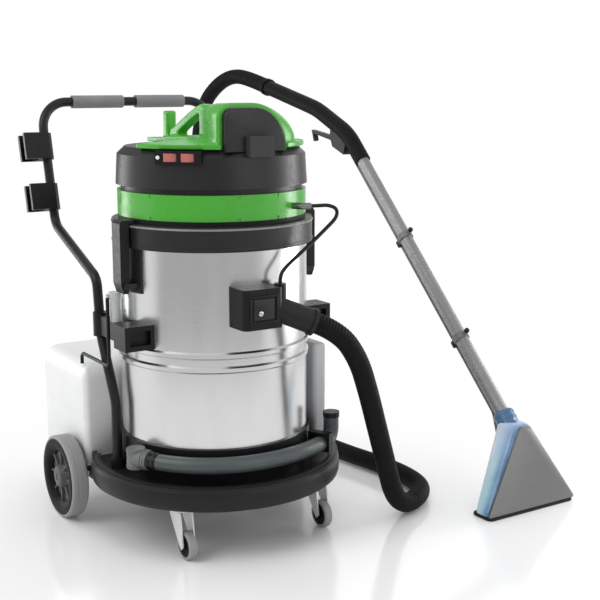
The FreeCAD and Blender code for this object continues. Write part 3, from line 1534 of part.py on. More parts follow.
def nozzle():
    """The fishtail nozzle: black lips, a clear blue body with a neck for the wand, a plate and a spray jet."""

    def fishtail(name, inset):
        low = rectangle("body_low_length / 2", "body_low_front", "body_low_depth", inset)
        high = rectangle("body_top_length / 2", "body_top_front", "body_top_depth", inset)
        body = lofted(name, "XY_Plane", [("lip_height", low), (f"body_top_z - {inset}", high)])
        return place(body, "wand_x")

    solid = fishtail("fishtail", "0")
    collar = on_wand(cylinder("collar", "collar_radius", "collar_length"))
    socket_depth = "collar_length - wand_tube_start"
    socket = on_wand(group("collar_socket", place(cylinder("socket", "wand_tube_radius", socket_depth), z="wand_tube_start")))
    way = cylinder("collar_way", "wand_tube_radius - wand_tube_wall", "collar_length + collar_radius")
    way = on_wand(group("collar_way_leaning", place(way, z="-collar_radius")))
    outside = fuse("nozzle_outside", solid, collar)
    body = cut("nozzle_hollow", outside, fishtail("fishtail_inside", "body_wall"), socket, way)
    node(body, "nozzle_body")

    lip = block("lip", "lip_length", "lip_depth", "lip_height")
    place(lip, "wand_x - lip_length / 2", "lip_front")
    slot = block("lip_slot", "slot_length", "slot_depth", "lip_height")
    place(slot, "wand_x - slot_length / 2", "lip_front + lip_depth / 2 - slot_depth / 2")
    node(cut("lips", lip, slot), "nozzle_lip")

    plate = padded(
        "front_plate",
        "XZ_Plane",
        [
            ("-plate_low_half", "0"),
            ("plate_low_half", "0"),
            ("plate_top_half", "plate_height"),
            ("-plate_top_half", "plate_height"),
        ],
        "plate_thickness",
        "plate_thickness / 2",
    )
    lean(place(plate, "wand_x", "body_low_front", "lip_height"), V(-1, 0, 0), "plate_lean")
    below = place(block("plate_below", "lip_length", "lip_depth", "lip_height"), "wand_x - lip_length / 2", "lip_front")
    node(cut("front_plate_cut", plate, below), "nozzle_plate")

    jet = place(cylinder("jet", "jet_radius", "jet_length"), "wand_x", "jet_y", "jet_z")
    back_low = "(body_low_front + body_low_depth)"
    back_slope = f"((body_top_front + body_top_depth - {back_low}) / (body_top_z - lip_height))"
    arm_low = "(jet_z + jet_length / 4)"
    arm_high = "(jet_z + jet_length * 3 / 4)"
    arm = padded(
        "jet_arm",
        "YZ_Plane",
        [
            (f"{back_low} + {back_slope} * ({arm_low} - lip_height)", arm_low),
            ("jet_y", arm_low),
            ("jet_y", arm_high),
            (f"{back_low} + {back_slope} * ({arm_high} - lip_height)", arm_high),
        ],
        "jet_radius",
    )
    node(fuse("jet_whole", jet, place(arm, "wand_x")), "spray_jet")


# ---------------------------------------------------------------- cords


def suction_hose(start, ahead, end):
    """The hose: down from its cuff, round on the floor past the machine, up behind it and over to the wand."""
    free = [
        (200, -284, 410),
        (232, -280, 325),
        (262, -274, 235),
        (296, -264, 142),
        (326, -252, 64),
        (376, -232, 24),
        (440, -205, 24),
        (490, -150, 24),
        (506, -60, 24),
        (500, 40, 24),
        (480, 150, 24),
        (470, 300, 24),
        (482, 450, 24),
        (512, 600, 24),
        (558, 750, 24),
        (596, 890, 24),
        (612, 1000, 24),
        (614, 1085, 26),
        (611, 1150, 84),
        (600, 1180, 200),
        (580, 1188, 400),
        (576, 1186, 600),
        (588, 1190, 790),
        (606, 1176, 925),
    ]
    over = [
        end + V(-11, n.hose_over_far, 7),
        end + V(0, n.hose_over_middle, 35),
        end + V(0, n.hose_over_near, 24),
    ]
    points = [start, start + ahead * n.hose_straight, *(V(*point) for point in free), *over, end]
    cord("suction_hose", points, n.hose_radius)


def solution_tube(start):
    """The thin tube from the head's coupling, looped and down to the port on the inlet."""
    free = [
        (143, -211.9, 738),
        (165, -218.5, 739),
        (184, -223.5, 730),
        (181, -226, 712),
        (156, -227.5, 693),
        (119, -228.5, 665),
        (75, -230, 635),
        (45, -232, 614),
        (32, -235, 599),
    ]
    end = V(n.port_x, n.port_y, n.port_top + n.clearance)
    cord("solution_tube", [start, *(V(*point) for point in free), end], n.solution_tube_radius)


# ---------------------------------------------------------------- the whole part


def main():
    base_trolley()
    rear_wheels()
    casters()
    bar = push_handle()
    node(group("hooks", tool_hook("upper_hook", "hook_upper"), tool_hook("lower_hook", "hook_lower")), "tool_hooks")
    leg_clamps(bar)
    drum_body()
    drum_rim()
    latches()
    hose_start, hose_ahead = inlet()
    drain()
    solution_tank()
    filter_and_pump()
    head_ring()
    cover = motor_cover()
    top_cover(cover)
    vacuum_parts()
    tube_start = quick_coupling()
    hose_end = wand()
    nozzle()
    suction_hose(hose_start, hose_ahead, hose_end)
    solution_tube(tube_start)
    doc.recompute()
    failed = [obj.Label for obj in doc.Objects if "Invalid" in obj.State or "Error" in obj.State]
    failed += [obj.Label for obj in nodes if obj.Shape.isNull() or not obj.Shape.isValid()]
    if failed:
        raise RuntimeError("these objects failed: " + ", ".join(failed))
    os.makedirs("parts", exist_ok=True)
    for obj in nodes:
        obj.Shape.exportStep(f"parts/{obj.Label}.step")
    print(f"{len(nodes)} pieces written")


main()
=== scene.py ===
import math

import bmesh
import bpy
import numpy as np
from mathutils import Matrix, Vector


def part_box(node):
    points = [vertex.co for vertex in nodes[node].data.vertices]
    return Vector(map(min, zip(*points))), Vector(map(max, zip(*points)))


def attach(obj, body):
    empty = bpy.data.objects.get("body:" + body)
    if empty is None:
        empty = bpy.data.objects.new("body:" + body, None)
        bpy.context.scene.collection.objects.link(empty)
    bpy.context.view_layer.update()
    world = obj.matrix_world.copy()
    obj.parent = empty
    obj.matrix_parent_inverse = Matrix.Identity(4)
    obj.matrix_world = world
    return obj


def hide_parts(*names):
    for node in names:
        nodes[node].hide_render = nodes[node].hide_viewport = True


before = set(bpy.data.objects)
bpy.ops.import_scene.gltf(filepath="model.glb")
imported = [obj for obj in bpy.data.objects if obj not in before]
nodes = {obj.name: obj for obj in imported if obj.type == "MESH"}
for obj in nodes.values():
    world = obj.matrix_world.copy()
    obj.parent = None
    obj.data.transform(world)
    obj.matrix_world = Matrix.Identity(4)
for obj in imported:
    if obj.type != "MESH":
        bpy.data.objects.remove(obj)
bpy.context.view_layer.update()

low, high = (Vector(corner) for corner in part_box("drum_shell"))
DRUM_AXIS = Vector(((low.x + high.x) / 2, (low.y + high.y) / 2, 0))
MM = 0.001


def at(x, y, z):
    """A point given in millimetres from the foot of the drum's axis."""
    return DRUM_AXIS + Vector((x, y, z)) * MM


# ---------------------------------------------------------------- camera and studio

VIEW_TURN = math.radians(32.7)      # the view turns this far from +Y towards +X
VIEW_DOWN = math.radians(10.74)
BEHIND = Vector((-math.sin(VIEW_TURN), -math.cos(VIEW_TURN), 0))
RIGHT = Vector((math.cos(VIEW_TURN), -math.sin(VIEW_TURN), 0))


CAMERA_PLACE = at(-1216.6, -2256.9, 998.6)
LENS, SENSOR_WIDTH = 69.1, 36
FAR_CLIP = 60


def set_camera():
    camera = bpy.data.objects.new("camera", bpy.data.cameras.new("camera"))
    bpy.context.collection.objects.link(camera)
    camera.location = CAMERA_PLACE
    camera.rotation_euler = (math.pi / 2 - VIEW_DOWN, 0, -VIEW_TURN)
    camera.data.lens = LENS
    camera.data.sensor_width = SENSOR_WIDTH
    camera.data.clip_end = FAR_CLIP
    bpy.context.scene.camera = camera


class Graph:
    """Builds shader nodes in one node tree."""

    def __init__(self, tree):
        self.tree = tree

    def set(self, socket, value):
        if isinstance(value, bpy.types.NodeSocket):
            self.tree.links.new(value, socket)
        elif value is not None:
            socket.default_value = value

    def node(self, kind, inputs=(), **settings):
        made = self.tree.nodes.new("ShaderNode" + kind)
        for name, value in settings.items():
            setattr(made, name, value)
        for key, value in dict(inputs).items():
            self.set(made.inputs[key], value)
        return made

    def math(self, operation, a, b=None, clamp=False):
        inputs = {0: a} if b is None else {0: a, 1: b}
        return self.node("Math", inputs, operation=operation, use_clamp=clamp).outputs[0]

    def remap(self, value, from_low, from_high, to_low, to_high):
        inputs = {"Value": value, "From Min": from_low, "From Max": from_high,
                  "To Min": to_low, "To Max": to_high}
        return self.node("MapRange", inputs).outputs["Result"]

    def blend(self, factor, a, b):
        made = self.node("Mix", {0: factor, 6: a, 7: b}, data_type="RGBA")
        return made.outputs[2]

    def ramp(self, value, stops):
        made = self.node("ValToRGB", {0: value})
        ramp = made.color_ramp
        while len(ramp.elements) < len(stops):
            ramp.elements.new(0.5)
        for element, (position, grey) in zip(ramp.elements, stops):
            element.position = position
            element.color = (grey, grey, grey, 1)
        return made.outputs["Color"]

    def colour_ramp(self, value, stops):
        made = self.node("ValToRGB", {0: value})
        ramp = made.color_ramp
        while len(ramp.elements) < len(stops):
            ramp.elements.new(0.5)
        for element, (position, colour) in zip(ramp.elements, stops):
            element.position = position
            element.color = (*colour, 1)
        return made.outputs["Color"]

    def dot(self, vector, direction):
        return self.node("VectorMath", {0: vector, 1: direction}, operation="DOT_PRODUCT").outputs["Value"]


WORLD_LIGHT = 0.62                      # what lights the object; the background itself is seen as white
OVERHEAD = 0.75                         # the grey that shiny surfaces mirror from above
OVERHEAD_FROM, OVERHEAD_FULL = 0.45, 0.75
# Grey studio cards that shiny surfaces mirror: the middle and half the width in degrees, from straight
# behind the machine towards the right, and the grey. All else round the machine is white.
CARDS = ((-140, 25, 0.3), (0, 60, 0.5), (135, 10, 0.4))
CARD_EDGE = 12
CARDS_FROM, CARDS_FULL = 1.5, 2.2       # metres from the drum's axis


def studio_cards(g, way):
    """The white room and its soft-edged grey cards, by direction."""
    around = g.remap(g.math("ARCTAN2", g.dot(way, RIGHT), g.dot(way, BEHIND)), -math.pi, math.pi, 0, 1)
    stops = []
    for middle, half, grey in CARDS:
        for side in (-1, 1):
            stops += [(middle + side * half, grey), (middle + side * (half + CARD_EDGE), 1.0)]
    return g.ramp(around, [((angle + 180) / 360, grey) for angle, grey in sorted(stops)])


def set_world():
    world = bpy.data.worlds.new("studio")
    bpy.context.scene.world = world
    world.use_nodes = True
    tree = world.node_tree
    tree.nodes.clear()
    g = Graph(tree)
    path = g.node("LightPath").outputs
    way = g.node("TexCoord").outputs["Generated"]
    up = g.node("SeparateXYZ", {0: way}).outputs["Z"]
    overhead = g.remap(up, OVERHEAD_FROM, OVERHEAD_FULL, 0, 1)
    mirrored = g.blend(overhead, studio_cards(g, way), (OVERHEAD, OVERHEAD, OVERHEAD, 1))
    plain = g.blend(path["Is Camera Ray"], (WORLD_LIGHT, WORLD_LIGHT, WORLD_LIGHT, 1), (1, 1, 1, 1))
    shiny = g.math("ADD", path["Is Glossy Ray"], path["Is Transmission Ray"], clamp=True)
    colour = g.blend(shiny, plain, mirrored)
    background = g.node("Background", {"Color": colour, "Strength": 1.0})
    out = g.node("OutputWorld")
    tree.links.new(background.outputs[0], out.inputs["Surface"])


def soft_light(name, place, target, size, power, mirrored=True):
    """A soft box of a size in metres and a power in watts, turned to the target."""
    data = bpy.data.lights.new(name, "AREA")
    data.shape = "RECTANGLE"
    data.size, data.size_y = size
    data.energy = power
    lamp = bpy.data.objects.new(name, data)
    bpy.context.collection.objects.link(lamp)
    lamp.location = place
    lamp.rotation_euler = (target - place).to_track_quat("-Z", "Y").to_euler()
    lamp.visible_glossy = mirrored


FLOOR_HALF = 30
FLOOR_SHADE = 0.92                      # as the camera sees it; the light it throws back is that of the next
FLOOR_BOUNCE = 0.8
FLOOR_MIRROR, FLOOR_ROUGHNESS = 0.18, 0.13
FLOOR_MIDDLE = at(0, -230, 0)
SWEEP_SEEN, SWEEP_MIRRORED = (0.4, 1.4), (0.25, 0.8)    # where white starts and is full, from the middle


def set_floor():
    """A pale floor that turns pure white away from the machine, as a studio sweep does."""
    mesh = bpy.data.meshes.new("floor")
    size = FLOOR_HALF
    mesh.from_pydata([(-size, -size, 0), (size, -size, 0), (size, size, 0), (-size, size, 0)], [],
                     [(0, 1, 2, 3)])
    floor = bpy.data.objects.new("floor", mesh)
    bpy.context.collection.objects.link(floor)
    material = bpy.data.materials.new("floor")
    material.use_nodes = True
    tree = material.node_tree
    tree.nodes.clear()
    g = Graph(tree)
    path = g.node("LightPath").outputs
    colour = g.blend(path["Is Camera Ray"], (FLOOR_BOUNCE, FLOOR_BOUNCE, FLOOR_BOUNCE, 1),
                     (FLOOR_SHADE, FLOOR_SHADE, FLOOR_SHADE, 1))
    matt = g.node("BsdfDiffuse", {"Color": colour})
    mirror = g.node("BsdfGlossy", {"Color": (1, 1, 1, 1), "Roughness": FLOOR_ROUGHNESS})
    near = g.node("MixShader", {0: FLOOR_MIRROR, 1: matt.outputs[0], 2: mirror.outputs[0]})
    where = g.node("TexCoord").outputs["Object"]
    from_drum = g.node("VectorMath", {0: where, 1: DRUM_AXIS}, operation="SUBTRACT").outputs[0]
    reach = g.node("VectorMath", {0: from_drum}, operation="LENGTH").outputs["Value"]
    at_cards = g.remap(reach, CARDS_FROM, CARDS_FULL, 0, 1)
    cards = g.blend(at_cards, (1, 1, 1, 1), studio_cards(g, from_drum))
    sweep = g.blend(path["Is Glossy Ray"], (1, 1, 1, 1), cards)
    white = g.node("Emission", {"Color": sweep, "Strength": 1.0})
    away = g.node("VectorMath", {0: where, 1: FLOOR_MIDDLE}, operation="DISTANCE").outputs["Value"]
    near_edge = g.remap(path["Is Camera Ray"], 0, 1, SWEEP_MIRRORED[0], SWEEP_SEEN[0])
    far_edge = g.remap(path["Is Camera Ray"], 0, 1, SWEEP_MIRRORED[1], SWEEP_SEEN[1])
    far = g.node("MapRange", {"Value": away, "From Min": near_edge, "From Max": far_edge},
                 interpolation_type="SMOOTHSTEP")
    seen = g.math("ADD", path["Is Camera Ray"], path["Is Glossy Ray"])
    seen = g.math("ADD", seen, path["Is Transmission Ray"], clamp=True)
    surface = g.node("MixShader", {0: g.math("MULTIPLY", far.outputs[0], seen), 1: near.outputs[0],
                                   2: white.outputs[0]})
    out = g.node("OutputMaterial")
    tree.links.new(surface.outputs[0], out.inputs["Surface"])
    # The lamps light the object, and the floor's white is only seen.
    material.cycles.emission_sampling = "NONE"
    mesh.materials.append(material)


def set_lights():
    middle = at(100, 0, 450)
    soft_light("key", middle + BEHIND * 1.6 - RIGHT * 2.4 + Vector((0, 0, 2.4)), middle, (2.4, 2.0), 50)
    soft_light("fill", middle + BEHIND * 2.2 + RIGHT * 2.2 + Vector((0, 0, 1.2)), middle, (2.0, 2.0), 16)
    soft_light("top", middle + Vector((0, 0, 3.0)), middle, (3.0, 3.0), 32, False)
    soft_light("right_edge", middle + RIGHT * 2.3 - BEHIND * 0.9, middle, (1.0, 2.0), 34)
    soft_light("left_edge", middle - RIGHT * 2.3 - BEHIND * 1.3, middle, (1.0, 2.0), 21)


# ---------------------------------------------------------------- materials

def start_material(name):
    material = bpy.data.materials.new(name)
    material.use_nodes = True
    graph = Graph(material.node_tree)
    return material, graph, material.node_tree.nodes["Principled BSDF"]


def moulded(name, colour, rough=0.42, spread=0.08, grain=1400, depth=0.00006, patch=14, **fixed):
    """Moulded plastic, rubber or paint: slow colour drift, uneven gloss and a fine grain."""
    material, g, shader = start_material(name)
    where = g.node("TexCoord").outputs["Object"]
    drift = g.node("TexNoise", {"Vector": where, "Scale": patch, "Detail": 3}).outputs["Fac"]
    pale = [min(1, c * (1 + spread)) for c in colour[:3]] + [1]
    deep = [c * (1 - spread) for c in colour[:3]] + [1]
    g.set(shader.inputs["Base Color"], g.blend(g.remap(drift, 0.32, 0.68, 0, 1), deep, pale))
    speck = g.node("TexNoise", {"Vector": where, "Scale": patch * 9, "Detail": 2}).outputs["Fac"]
    g.set(shader.inputs["Roughness"], g.remap(speck, 0.3, 0.7, max(0.03, rough - 0.05), rough + 0.07))
    fine = g.node("TexNoise", {"Vector": where, "Scale": grain, "Detail": 2}).outputs["Fac"]
    bump = g.node("Bump", {"Height": fine, "Strength": 0.5, "Distance": depth})
    g.set(shader.inputs["Normal"], bump.outputs[0])
    for socket, value in fixed.items():
        shader.inputs[socket.replace("_", " ")].default_value = value
    return material


def brushed(name, colour, rough, centre=None, stretch=(3, 3, 900), depth=0.000012, anisotropy=0.0):
    """Brushed metal. Round a drum the brush lines follow the circle about centre."""
    material, g, shader = start_material(name)
    where = g.node("TexCoord").outputs["Object"]
    if centre is not None:
        split = g.node("SeparateXYZ", {0: g.node("VectorMath", {0: where, 1: centre},
                                                 operation="SUBTRACT").outputs[0]})
        angle = g.math("ARCTAN2", split.outputs["Y"], split.outputs["X"])
        where = g.node("CombineXYZ", {"X": angle, "Y": 0.0, "Z": split.outputs["Z"]}).outputs[0]
    lines = g.node("VectorMath", {0: where, 1: stretch}, operation="MULTIPLY").outputs[0]
    streak = g.node("TexNoise", {"Vector": lines, "Scale": 1.0, "Detail": 4,
                                 "Roughness": 0.65}).outputs["Fac"]
    cloud = g.node("TexNoise", {"Vector": where, "Scale": 6.0, "Detail": 2}).outputs["Fac"]
    pale = [min(1, c * 1.03) for c in colour[:3]] + [1]
    deep = [c * 0.95 for c in colour[:3]] + [1]
    g.set(shader.inputs["Base Color"], g.blend(g.remap(streak, 0.3, 0.7, 0, 1), deep, pale))
    uneven = g.math("ADD", g.remap(streak, 0.3, 0.7, -0.02, 0.03),
                    g.remap(cloud, 0.3, 0.7, rough - 0.03, rough + 0.04))
    g.set(shader.inputs["Roughness"], uneven)
    bump = g.node("Bump", {"Height": streak, "Strength": 0.4, "Distance": depth})
    g.set(shader.inputs["Normal"], bump.outputs[0])
    shader.inputs["Metallic"].default_value = 1.0
    if anisotropy:
        shader.inputs["Anisotropic"].default_value = anisotropy
        tangent = g.node("Tangent", direction_type="RADIAL", axis="Z")
        g.set(shader.inputs["Tangent"], tangent.outputs[0])
    return material


def clear_plastic(name, colour, rough=0.12, body=0.55):
    """Tinted see-through plastic: part scattered colour, part transmission."""
    material, g, shader = start_material(name)
    where = g.node("TexCoord").outputs["Object"]
    drift = g.node("TexNoise", {"Vector": where, "Scale": 18, "Detail": 2}).outputs["Fac"]
    deep = [c * 0.9 for c in colour] + [1]
    g.set(shader.inputs["Base Color"], g.blend(g.remap(drift, 0.3, 0.7, 0, 1), deep, list(colour) + [1]))
    g.set(shader.inputs["Roughness"], g.remap(drift, 0.3, 0.7, rough, rough + 0.05))
    shader.inputs["Transmission Weight"].default_value = body
    shader.inputs["IOR"].default_value = 1.45
    return material


def nozzle_plastic_painted_light(name):
    """Clear blue plastic with painted light: paler and greener towards the nozzle's back, up to a near-white
    painted highlight, and a dark navy painted shade at its front by the plate.
    """
    material, g, shader = start_material(name)
    where = g.node("TexCoord").outputs["Object"]
    split = g.node("SeparateXYZ", {0: where}).outputs
    depth = g.math("SUBTRACT", split["Y"], g.math("MULTIPLY", split["Z"], 34 / 186))
    front = DRUM_AXIS.y - 0.3786
    across = g.remap(depth, front, front + 0.058, 0, 1)
    drift = g.node("TexNoise", {"Vector": where, "Scale": 16, "Detail": 2}).outputs["Fac"]
    across = g.math("ADD", across, g.remap(drift, 0.3, 0.7, -0.08, 0.08))
    high = g.remap(split["Z"], 0.11, 0.2, 0, 1)
    # Both ramps paint light and shade into the colour: the near-white end is a painted highlight, the dark
    # navy end painted shade, and the blue between is the plastic's own tint. The upper part takes the second
    # ramp.
    low_ramp_painted_light = g.colour_ramp(across, [(0.0, (0.05, 0.13, 0.26)), (0.25, (0.20, 0.38, 0.60)),
                                        (0.55, (0.52, 0.79, 0.92)), (1.0, (0.80, 0.95, 1.0))])
    high_ramp_painted_light = g.colour_ramp(across, [(0.0, (0.12, 0.24, 0.42)), (0.35, (0.44, 0.58, 0.86)),
                                         (1.0, (0.80, 0.88, 1.0))])
    g.set(shader.inputs["Base Color"], g.blend(high, low_ramp_painted_light, high_ramp_painted_light))
    g.set(shader.inputs["Roughness"], g.remap(drift, 0.3, 0.7, 0.12, 0.18))
    shader.inputs["Transmission Weight"].default_value = 0.25
    shader.inputs["IOR"].default_value = 1.45
    return material


def make_materials():
    m = {}
    dull = {"Specular_IOR_Level": 0.25}
    m["base"] = moulded("base_plastic", (0.011, 0.0112, 0.0122), rough=0.4, grain=900, depth=0.0001, **dull)
    m["black"] = moulded("black_plastic", (0.0062, 0.0064, 0.0066), rough=0.36, **dull)
    m["shell"] = moulded("shell_plastic", (0.0150, 0.0143, 0.0153), rough=0.34, grain=300, depth=0.00005,
                         Specular_IOR_Level=0.35)
    m["vent"] = moulded("vent_plastic", (0.042, 0.042, 0.042), rough=0.5, grain=1500, **dull)
    m["green"] = moulded("green_plastic", (0.055, 0.375, 0.024), rough=0.26, spread=0.02, grain=200,
                         depth=0.00001, patch=6, Specular_IOR_Level=0.65)
    m["paint"] = moulded("handle_paint", (0.012, 0.0128, 0.0142), rough=0.34, grain=700, depth=0.00008,
                         **dull)
    m["foam"] = moulded("foam_grip", (0.19, 0.19, 0.195), rough=0.85, grain=420, depth=0.0006, spread=0.12)
    m["rim"] = moulded("rim_plastic", (0.0128, 0.0128, 0.0135), rough=0.34, grain=250, depth=0.00001,
                       Specular_IOR_Level=0.4)
    # The rim bead's pale grey is a painted highlight along the black rim's top edge.
    m["bead"] = moulded("rim_bead_painted_highlight", (0.21, 0.205, 0.21), rough=0.25)
    m["tank"] = moulded("tank_plastic", (0.78, 0.79, 0.795), rough=0.4, spread=0.015, grain=500,
                        depth=0.00006, Subsurface_Weight=0.12)
    m["case"] = moulded("case_plastic", (0.48, 0.49, 0.50), rough=0.4, spread=0.04)
    m["tyre"] = moulded("tyre_rubber", (0.27, 0.27, 0.272), rough=0.6, spread=0.06, grain=600, depth=0.00012)
    m["pale_tyre"] = moulded("caster_tread", (0.28, 0.28, 0.28), rough=0.5, spread=0.05)
    m["wheel"] = moulded("wheel_plastic", (0.0045, 0.0045, 0.0048), rough=0.5, Specular_IOR_Level=0.1)
    m["band"] = moulded("clip_band", (0.16, 0.16, 0.163), rough=0.4)
    m["web"] = moulded("wheel_web", (0.062, 0.062, 0.063), rough=0.45)
    m["fork"] = moulded("fork_metal", (0.72, 0.72, 0.725), rough=0.32, spread=0.03, depth=0.00002,
                        Metallic=0.35)
    m["drain"] = moulded("drain_hose", (0.062, 0.074, 0.077), rough=0.4, spread=0.05)
    m["fitting"] = moulded("fitting_plastic", (0.13, 0.136, 0.138), rough=0.42, spread=0.05)
    m["hose"] = moulded("hose_plastic", (0.0085, 0.0085, 0.0088), rough=0.55, grain=700, depth=0.0001,
                        Specular_IOR_Level=0.08)
    m["thin"] = moulded("thin_tube", (0.006, 0.006, 0.0066), rough=0.35, **dull)
    m["cuff"] = moulded("cuff_rubber", (0.0125, 0.0125, 0.0135), rough=0.5, **dull)
    m["hand"] = moulded("wand_grip", (0.0064, 0.0064, 0.0068), rough=0.5, Specular_IOR_Level=0.1)
    m["seal"] = moulded("seal_rubber", (0.007, 0.007, 0.007), rough=0.6, **dull)
    m["red"] = moulded("rocker_red", (0.46, 0.135, 0.115), rough=0.3, spread=0.04)
    m["lamp"] = moulded("lamp_white", (0.80, 0.80, 0.78), rough=0.2, spread=0.02)
    m["float"] = moulded("float_white", (0.8, 0.8, 0.77), rough=0.4, spread=0.03)
    m["pipe"] = moulded("pipe_grey", (0.15, 0.15, 0.155), rough=0.4, spread=0.05)
    m["drum"] = brushed("drum_steel", (0.70, 0.70, 0.702), 0.22, centre=DRUM_AXIS, stretch=(2.5, 0, 1100),
                        anisotropy=0.45)
    m["steel"] = brushed("plain_steel", (0.50, 0.505, 0.51), 0.3, stretch=(900, 3, 3))
    m["wand"] = moulded("wand_steel", (0.33, 0.33, 0.332), rough=0.55, spread=0.04, grain=40, depth=0.000002,
                        Metallic=1.0)
    m["plate"] = brushed("plate_metal", (0.22, 0.218, 0.22), 0.45, stretch=(6, 500, 6))
    m["cast"] = brushed("cast_metal", (0.5, 0.5, 0.51), 0.45, stretch=(60, 60, 60))
    m["brass"] = brushed("brass", (0.62, 0.50, 0.30), 0.3, stretch=(200, 200, 20))
    m["chrome"] = brushed("screw_steel", (0.62, 0.62, 0.62), 0.24, stretch=(300, 300, 300))
    m["nickel"] = brushed("nickel", (0.24, 0.25, 0.245), 0.35, stretch=(200, 200, 20))
    m["blue"] = nozzle_plastic_painted_light("nozzle_plastic_painted_light")
    m["collar"] = moulded("collar_plastic", (0.060, 0.150, 0.27), rough=0.3, spread=0.04)
    m["bowl"] = clear_plastic("bowl_plastic", (0.78, 0.82, 0.82), body=0.4)
    return m


FINISH = {
    "base": ["base_trolley"],
    "steel": ["rear_axle"],
    "tyre": ["tyre_left", "tyre_right"],
    "wheel": ["wheel_left", "wheel_right", "caster_wheel_left", "caster_wheel_right"],
    "fork": ["caster_fork_left", "caster_fork_right"],
    "paint": ["push_handle"],
    "foam": ["handle_grips"],
    "black": ["tool_hooks", "leg_clamps", "drum_foot", "latch_left", "latch_right", "inlet_housing",
              "drain_plug", "drain_clip", "tank_cap", "switch_bezel", "float_cage", "cable_gland",
              "valve_body", "trigger"],
    "hand": ["wand_handle"],
    "band": ["pipe_clips"],
    "drum": ["drum_shell"],
    "rim": ["drum_rim"],
    "cuff": ["inlet_cuff"],
    "fitting": ["drain_elbow"],
    "drain": ["drain_hose"],
    "tank": ["solution_tank"],
    "thin": ["tank_tube"],
    "bowl": ["inline_filter"],
    "case": ["pump_housing"],
    "cast": ["solution_pump", "vacuum_motor", "fan_impeller"],
    "seal": ["head_seal", "nozzle_lip"],
    "green": ["head_ring", "top_cover"],
    "shell": ["motor_cover", "dome_panel"],
    "vent": ["vent_block"],
    "red": ["pump_switch", "motor_switch"],
    "lamp": ["pilot_lamp"],
    "float": ["float_ball"],
    "brass": ["spray_jet"],
    "nickel": ["quick_coupling"],
    "wand": ["wand_tube"],
    "pipe": ["solution_pipe"],
    "blue": ["nozzle_body"],
    "plate": ["nozzle_plate"],
}


def paint(obj, material):
    obj.data.materials.clear()
    obj.data.materials.append(material)


def finish_nodes(m):
    for name, members in FINISH.items():
        for node in members:
            paint(nodes[node], m[name])


# ---------------------------------------------------------------- cords

HOSE_ROUTE = [(100.3, -262.1, 496.9), (151, -279.4, 474.6), (200, -284, 410), (232, -280, 325),
              (262, -274, 235), (296, -264, 142), (326, -252, 64), (376, -232, 24), (440, -205, 24),
              (490, -150, 24), (506, -60, 24), (500, 40, 24), (480, 150, 24), (470, 300, 24), (482, 450, 24),
              (512, 600, 24), (558, 750, 24), (596, 890, 24), (612, 1000, 24), (614, 1085, 26),
              (611, 1150, 84), (600, 1180, 200), (580, 1188, 400), (576, 1186, 600), (588, 1190, 790),
              (606, 1176, 925), (632, 1122, 990), (643, 1036, 1018), (643, 930, 1007), (643, 828.3, 983.1)]
TUBE_ROUTE = [(125.4, -206, 738), (143, -211.9, 738), (165, -218.5, 739), (184, -223.5, 730),
              (181, -226, 712), (156, -227.5, 693), (119, -228.5, 665), (75, -230, 635), (45, -232, 614),
              (32, -235, 599), (32, -235, 584.3)]


def route_curve(name, route, steps=12):
    data = bpy.data.curves.new(name, "CURVE")
    data.dimensions = "3D"
    spline = data.splines.new("NURBS")
    spline.points.add(len(route) - 1)
    for point, place in zip(spline.points, route):
        point.co = (*at(*place), 1)
    spline.order_u = 3
    spline.use_endpoint_u = True
    data.resolution_u = steps
    curve = bpy.data.objects.new(name, data)
    bpy.context.collection.objects.link(curve)
    return curve


def route_points(curve):
    """The points of a curve's own smooth line."""
    mesh = bpy.data.meshes.new_from_object(curve)
    points = [v.co.copy() for v in mesh.vertices]
    bpy.data.meshes.remove(mesh)
    return points


def resample(points, step):
    """Points every step along the line, both ends among them."""
    gaps = [(b - a).length for a, b in zip(points, points[1:])]
    along = np.concatenate([[0], np.cumsum(gaps)])
    count = max(2, round(along[-1] / step))
    want = np.linspace(0, along[-1], count + 1)
    line = np.array(points)
    return [Vector(p) for p in np.stack([np.interp(want, along, line[:, k]) for k in range(3)], 1)]


def span(mesh, rings):
    """Faces between neighbouring rings that have one point count."""
    count = len(rings[0])
    for one, two in zip(rings, rings[1:]):
        for k in range(count):
            j = (k + 1) % count
            mesh.faces.new((one[k], one[j], two[j], two[k]))


def close(mesh, rings):
    """A closed skin over rings, its faces turned outward."""
    span(mesh, rings)
    mesh.faces.new(rings[0])
    mesh.faces.new(rings[-1])
    bmesh.ops.recalc_face_normals(mesh, faces=mesh.faces)


def tube_mesh(name, points, radius_at, sides):
    """A tube round the points; radius_at gives its radius at each distance along it."""
    gaps = [(b - a).length for a, b in zip(points, points[1:])]
    along = np.concatenate([[0], np.cumsum(gaps)])
    mesh = bmesh.new()
    across = None
    rings = []
    for i, place in enumerate(points):
        ahead = (points[min(i + 1, len(points) - 1)] - points[max(i - 1, 0)]).normalized()
        across = (ahead.orthogonal() if across is None else across - ahead * across.dot(ahead)).normalized()
        other = ahead.cross(across)
        radius = radius_at(along[i])
        rings.append([mesh.verts.new(place + (across * math.cos(a) + other * math.sin(a)) * radius)
                      for a in (2 * math.pi * k / sides for k in range(sides))])
    span(mesh, rings)
    mesh.faces.new(reversed(rings[0]))
    mesh.faces.new(rings[-1])
    return made(name, mesh)


def made(name, mesh):
    """The smooth-shaded object of a bmesh, linked to the scene."""
    mesh.normal_update()
    data = bpy.data.meshes.new(name)
    mesh.to_mesh(data)
    mesh.free()
    data.shade_smooth()
    obj = bpy.data.objects.new(name, data)
    bpy.context.collection.objects.link(obj)
    return obj


HOSE_RADIUS = 23 * MM
RIB_PITCH = 7.5 * MM
RIB_HEIGHT = 1.1 * MM


